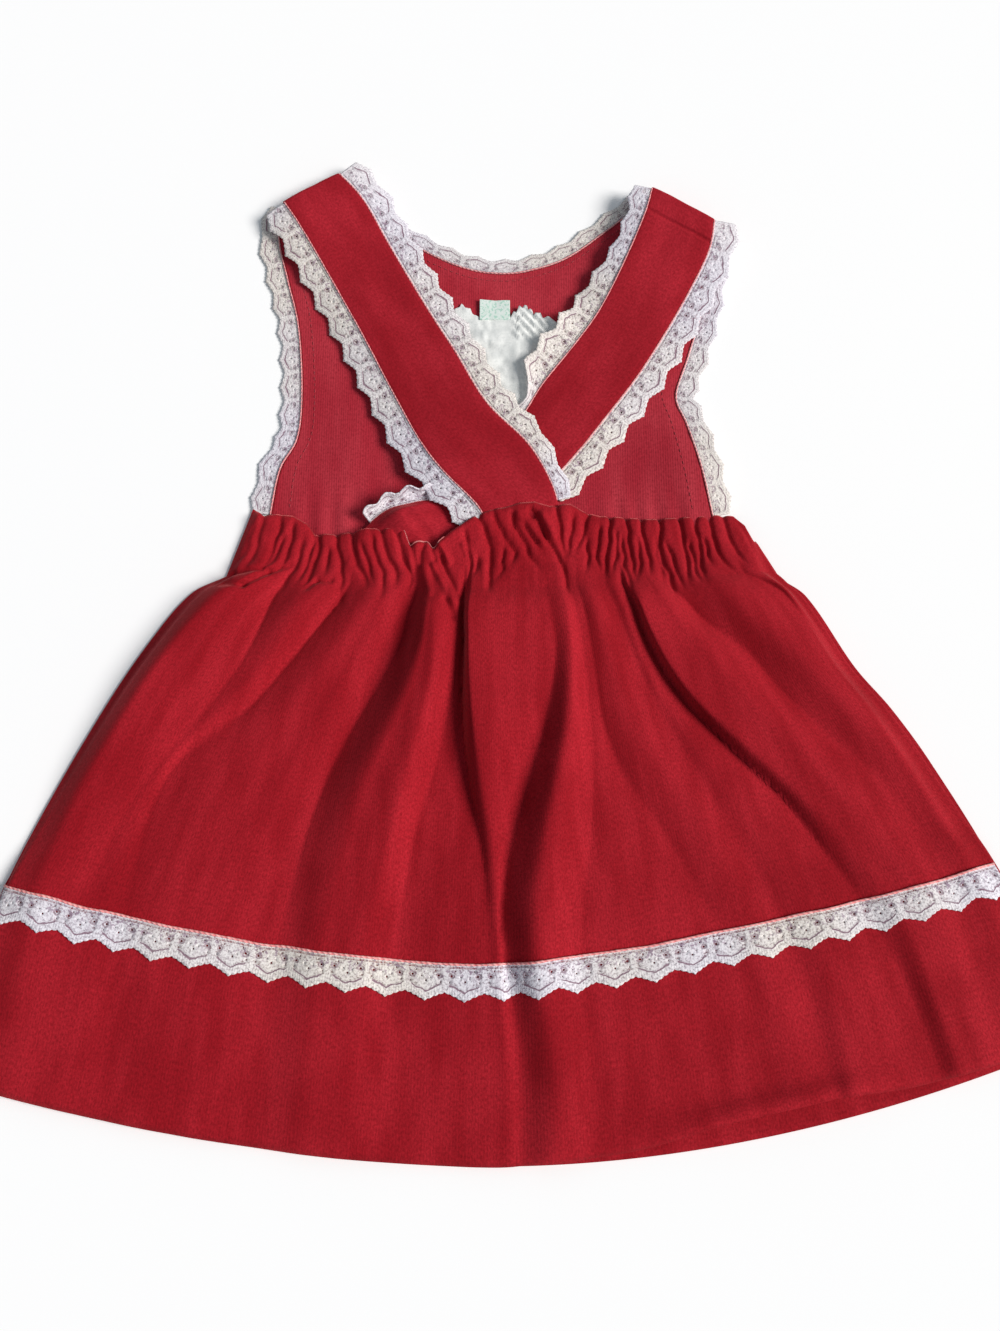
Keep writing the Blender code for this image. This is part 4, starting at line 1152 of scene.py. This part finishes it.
def hem_lace(name, across, down, points, band, lift):
    """The band round the skirt and its cord, laid on the panel's own face."""
    normal = normals(points)

    def on_panel(s, f):
        """The panel's places and its normals, at shares across and down."""
        col = (s + 1) / 2 * (len(across) - 1)
        row = (len(down) - 1) - np.interp(f, down[::-1], np.arange(len(down)))
        c = np.clip(np.floor(col).astype(int), 0, len(across) - 2)
        r = np.clip(np.floor(row).astype(int), 0, len(down) - 2)
        right, up = (col - c)[:, None], (row - r)[:, None]
        return [
            (field[r, c] * (1 - up) + field[r + 1, c] * up) * (1 - right)
            + (field[r, c + 1] * (1 - up) + field[r + 1, c + 1] * up) * right
            for field in (points, normal)
        ]

    s = np.linspace(-1, 1, 400)
    run = run_along(on_panel(s, np.full(len(s), (band[0] + band[1]) / 2))[0])
    repeats = int(round(run[-1] / LACE_LONG))
    lumpy = 0.25 if lift > 0 else 0

    def place(at, part):
        waver = 0.0018 * noise(at * 14, 0, 71) + 0.0016 * noise(at * 34, 0, 73)
        at_down = band[0] + waver + (band[1] - band[0]) * part
        lying, out = on_panel(np.interp(at, run / run[-1], s), at_down)
        lumps = noise(at * 60, part * 2, 72)[:, None] + 1
        return lying + out * lift + UP * lumpy * lumps

    band_piece = lace_band(name, repeats, place)
    at = np.linspace(0, 1, 420)
    cord = place(at, np.full(len(at), 0.02))
    cord[:, 2] += 0.1 if lift > 0 else -0.1
    radius = 0.5 + 0.1 * noise(at * 200, 2, 9)
    return [band_piece, tube(name + "_cord", cord, radius, HEM_CORD)]


# ---------------------------------------------------------------- assembly

pieces = {}


def stands_for(piece, slot, *nodes):
    """Attaches a piece to the root and hides the CAD's nodes that it replaces, if any. The slot is not
    used.
    """
    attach(piece, "root")
    if nodes:
        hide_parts(*nodes)
    pieces[piece.name] = piece


def puff(x, y, t, u):
    """The right strap stands away from the back at its inner edge near the shoulder, and swells
    up where its lower end comes out from under the other strap."""
    swell = 6.4 * swelling(x, y, -47, 264, 11, 8.5) - capsule(x, y, -45, 266, -36, 257, 3.4)
    swell = swell * ramp(0, 0.2, u + 0.04)
    inner = 2.4 * np.exp(-(((t - 0.17) / 0.1) ** 2)) * (1 - u) ** 0.7
    seam = 0.8 * capsule(x, y, 65, 417, 94, 400, 1.3)
    return swell + inner - seam


def flat_bulge(x, y, t, u):
    return 0.5 * noise(u * 1.5, t * 5, 77)


front, front_across, front_down, front_points = build_front()
stands_for(front, "red_cord", "skirt_front", "waist_casing")
stands_for(build_back(), "red_cord", "skirt_back")
left_strap, left_points = build_strap("strap_left_band", LEFT_STRAP, 230, 0.35, flat_bulge, 4.4)
right_strap, right_points = build_strap("strap_right_band", RIGHT_STRAP, 320, 0.3, puff, 6.4)
bodice, bodice_points = build_bodice()
stands_for(left_strap, "red_cord", "front_strap_left")
stands_for(right_strap, "red_cord", "front_strap_right")
stands_for(bodice, "red_cord", "back_bodice")


def strap_side(points, column, share, going_down=False):
    """A strap's edge at its seam: the share of it down from the shoulder, from its lower end up
    unless it is going down."""
    line = points[int(len(points) * (1 - share)):, column].copy()
    line[:, 2] -= 0.35
    return line[::-1] if going_down else line


def lace_pieces(made, node):
    band, cord = made
    stands_for(band, "white_lace", node)
    stands_for(cord, "white_lace")


# The right strap's inner lace, from its lower end: share along, and width
INNER_WIDTH = (
    (0, 0.1, 0.17, 0.2, 0.41, 0.44, 0.474, 0.516, 0.6, 0.72, 0.85, 1),
    (8, 9, 7, 6, 6, 3, 8.3, 14.6, 14.5, 13.5, 9.5, 11),
)
RIGHT_INNER = {
    "width": lambda t: curve(*INNER_WIDTH, t) + 1.5 * np.sin(t * 150) * (1 - ramp(0.14, 0.2, t)),
    "drop": lambda t: 0.6 - 4.6 * (ramp(0.40, 0.46, t) - ramp(0.62, 0.72, t)),
    "curl": lambda t: 1.9 * (1 - ramp(0.12, 0.18, t)),
    "ruffle": lambda t: 1.7 - 1.2 * ramp(0.14, 0.2, t),
    "thread": lambda t: 0.3 + 0.7 * ramp(0.14, 0.2, t),
}
LEFT_INNER = {"width": lambda t: 13.5 - 5.0 * ramp(0.72, 0.95, t), "drop": 1.0}
NECK_LACE, ARM_LACE = ({"width": wide, "drop": 0.2, "ruffle": 0.3} for wide in (8.5, 10.5))
# Each lace on an edge: its name, the node it stands for, the edge, and how it lies
EDGE_LACES = (
    ("lace_left_outer", "strap_lace_left_outer", strap_side(left_points, 0, 14.7 / 16),
     {"width": 13.5, "drop": 1.6}),
    ("lace_left_inner", "strap_lace_left_inner", strap_side(left_points, -1, 14 / 16, True),
     LEFT_INNER),
    ("lace_right_outer", "strap_lace_right_outer", strap_side(right_points, -1, 14 / 22, True),
     {"width": 13.5, "drop": 1.2}),
    ("lace_right_inner", "strap_lace_right_inner", strap_side(right_points, 0, 21 / 22),
     RIGHT_INNER),
    ("lace_neck", "neck_lace", bodice_points[-1, 28:113], NECK_LACE),
    ("lace_armhole_left", "armhole_lace_left", bodice_points[13:, 0], ARM_LACE),
    ("lace_armhole_right", "armhole_lace_right", bodice_points[13:, -1][::-1], ARM_LACE),
)
for seed, (name, node, edge, lie) in enumerate(EDGE_LACES, start=41):
    lace_pieces(edge_lace(name, edge, seed=seed, **lie), node)
front_band = hem_lace("lace_hem_front", front_across, front_down, front_points, HEM_LACE, 0.5)
lace_pieces(front_band, "hem_lace_front")


def build_back_band():
    """The back's band lies under it, on the cloth's outer face."""
    across = np.linspace(-1, 1, 261)
    down = np.linspace(0.60, 0.85, 60)[::-1]
    outer_face = together(*back_xy(across[None, :], down[:, None]), 0.85)
    return hem_lace("lace_hem_back", across, down, outer_face, BACK_HEM_LACE, 0.0)


lace_pieces(build_back_band(), "hem_lace_back")

LABEL_CLOTH = 0.45
LABEL_LOW_RIGHT = 9.0  # the label's lower right side, under the strap's lace
LABEL_TOP = [
    (-26, 370), (-23.5, 371), (-22.5, 373), (-21, 370.5), (-18.5, 370), (-17.5, 367),
    (-15.5, 366.5), (-14.5, 365.5), (0, 365.5), (1.5, 368.5), (2.5, 367.5), (4, 371),
    (5.5, 370.5), (7, 372), (8, 369), (9.5, 369.5), (10.5, 366), (12, 368), (14, 367.5),
    (15, 365), (18, 365.5), (24, 361),
]
LABEL_BOTTOM = [(-26, 350), (-8, 327), (0, 318), (3, 317), (8, 320), (14, 326), (24, 345)]
TAB_TOP = [(-14.2, 374.6), (-7, 374.0), (-0.2, 374.2)]
TAB_BOTTOM = [(-14.2, 364.2), (-0.2, 364.2)]


def label_grid(top, bottom, lift, seed):
    """The places of a label. top and bottom are its edges as lists of x and y."""
    x = np.linspace(top[0][0], top[-1][0], 61)[None, :]
    v = np.linspace(0, 1, 49)[:, None]
    high, low = (np.interp(x, *np.array(line, float).T) for line in (top, bottom))
    y = low + v * (high - low)
    z = lift + 0.25 * noise(x / 9, y / 9, seed) + 0.12 * noise(x / 3.5, y / 3.5, seed + 1)
    return together(x, y, z)


def crumple_label(points):
    """Ruffles at the label's upper right, a pocket low on the right, and crinkles all over."""
    x, y, z = np.moveaxis(points, -1, 0)  # a change in one of these changes the points
    x -= np.maximum(x - LABEL_LOW_RIGHT, 0) * (0.88 - 0.88 * ramp(346, 356, y))
    ruffles = np.sin(((x - 12) * 0.75 + (y - 360) * 0.66) * 2 * np.pi / 3.3)
    z += 0.75 * ramp(-2, 6, x) * ramp(350, 358, y) * (1 + ruffles)
    pocket = ramp(-3, 6.5, x) * ramp(318, 326, y) * (1 - ramp(348, 354, y))
    z += 0.9 * pocket * (1 - ramp(2.0, 5.0, x))
    crinkles = noise(x / 2.6 + 0.4 * noise(x / 7, y / 7, 65), y / 4.4, 66)
    z += 0.32 * crinkles * (0.35 + 0.65 * (1 - pocket))
    z += 0.9 * capsule(x, y, -14, 356, 6, 350, 6) - 0.5 * capsule(x, y, -14, 352, -9, 349, 3)


def label_cloth(name, points, look):
    return cloth(name, points, points[..., :2].copy(), LABEL_CLOTH, look)


label_points = label_grid(LABEL_TOP, LABEL_BOTTOM, 2.55, 61)
crumple_label(label_points)
stands_for(label_cloth("woven_label", label_points, LABEL), "white_label", "neck_label")
tab_points = label_grid(TAB_TOP, TAB_BOTTOM, 2.9, 63)
stands_for(label_cloth("size_tab", tab_points, TAB), "mint_tab", "label_tab")

STITCHED = {
    "armhole_stitches_left": bodice_points[16:125, 6],
    "armhole_stitches_right": bodice_points[16:125, -7],
    "neck_stitches": bodice_points[-6, 30:111],
}
for name, line in STITCHED.items():
    stands_for(stitch_row(name, line + 0.1 * UP, 3.0, 1.7, INSIDE_THREAD), "red_cord")

FRAYED_LEFT, FRAYED_RIGHT = -50, -29  # where the frill dips and its raw edge shows
header_row = front_points[-1]
in_dip = (header_row[:, 0] > FRAYED_LEFT) & (header_row[:, 0] < FRAYED_RIGHT)
frayed = resample(header_row[in_dip], 0.5) + 0.5 * UP
frayed_radius = 0.22 + 0.08 * noise(np.arange(len(frayed)) * 0.7, 1, 90)
stands_for(tube("frayed_edge", frayed, frayed_radius, FRAY), "red_cord")

# ---------------------------------------------------------------- cuts

# Each sheet's cut before it was sewn: width, length and area as a share of their product, how it
# is held, and what it lies on
CUTS = {
    "skirt_back_panel": (460, 262, 0.91, "gathered", ()),
    "skirt_front_panel": (470, 280, 0.90, "gathered", ("skirt_back_panel",)),
    "back_bodice_panel": (212, 188, 0.82, "laid", ()),
    "strap_left_band": (36, 210, 1, "folded", ("back_bodice_panel", "strap_right_band")),
    "strap_right_band": (34, 225, 1, "folded", ("back_bodice_panel",)),
    "woven_label": (50, 56, 0.62, "laid", ("back_bodice_panel",)),
    "size_tab": (14.5, 10.5, 1, "laid", ("back_bodice_panel",)),
}
for name, (wide, long, share, held, under) in CUTS.items():
    flat = (wide * MM, long * MM)
    flat[0] * flat[1] * share

NARROWEST = 10.0  # a cut is given at least this wide
LACE_CUTS = {
    "lace_left_outer": (13.5, 200, ("back_bodice_panel",)),
    "lace_left_inner": (13.5, 195, ("back_bodice_panel",)),
    "lace_right_outer": (13.5, 170, ("back_bodice_panel",)),
    "lace_right_inner": (10, 235, ("back_bodice_panel",)),
    "lace_neck": (8.5, 190, ()),
    "lace_armhole_left": (10.5, 172, ()),
    "lace_armhole_right": (10.5, 160, ()),
    "lace_hem_front": (14.5, 445, ("skirt_front_panel",)),
    "lace_hem_back": (14.5, 445, ()),
}
for name, (wide, long, under) in LACE_CUTS.items():
    flat = (max(wide, NARROWEST) * MM, long * MM)
    pieces[name + "_cord"]

# ---------------------------------------------------------------- floor, light and camera

# The floor: how far out, its lower and upper edge, and its depth just under the dress
FLOOR_OUT, FLOOR_LOW, FLOOR_HIGH, FLOOR_UNDER = 1500, -1300, 1800, -0.15
SKY, SKY_STRENGTH = (0.80, 0.90, 1.0, 1.0), 0.31
SUN_COLOR, SUN_STRENGTH, SUN_WIDE = (1.0, 0.962, 0.925), 3.95, math.radians(26)
SUN_TILT, SUN_TURN = math.radians(52), math.radians(-10)
SENSOR = 36  # the camera's sensor, in millimetres


def build_floor():
    corners = [
        (side * FLOOR_OUT, y, FLOOR_UNDER)
        for side, y in ((-1, FLOOR_LOW), (1, FLOOR_LOW), (1, FLOOR_HIGH), (-1, FLOOR_HIGH))
    ]
    maps = {"Cloth": [(0, 0), (1, 0), (1, 1), (0, 1)]}
    add_piece("floor", corners, [(0, 1, 2, 3)], maps, floor_material(), False)


def light_scene(scene):
    """A wide, soft sun from the right, and a faint blue sky."""
    world = bpy.data.worlds.new("studio")
    world.use_nodes = True
    background = world.node_tree.nodes["Background"]
    background.inputs[0].default_value = SKY
    background.inputs[1].default_value = SKY_STRENGTH
    scene.world = world
    sun = bpy.data.lights.new("sun", "SUN")
    sun.energy = SUN_STRENGTH
    sun.angle = SUN_WIDE
    sun.color = SUN_COLOR
    key = bpy.data.objects.new("sun", sun)
    key.rotation_euler = (0, SUN_TILT, SUN_TURN)
    scene.collection.objects.link(key)


def place_camera(scene):
    camera = bpy.data.objects.new("camera", bpy.data.cameras.new("camera"))
    camera.data.lens = PICTURE_FOCAL / PICTURE_TALL * SENSOR
    camera.data.sensor_width = SENSOR
    camera.data.clip_start = 0.01
    camera.location = (np.array([CAMERA_X, CAMERA_Y, CAMERA_HIGH]) - ORIGIN) * MM
    camera.rotation_euler = (CAMERA_TILT, 0, 0)
    scene.collection.objects.link(camera)
    scene.camera = camera


build_floor()
scene = bpy.context.scene
scene.view_settings.view_transform = "Standard"
scene.view_settings.look = "None"
light_scene(scene)
place_camera(scene)
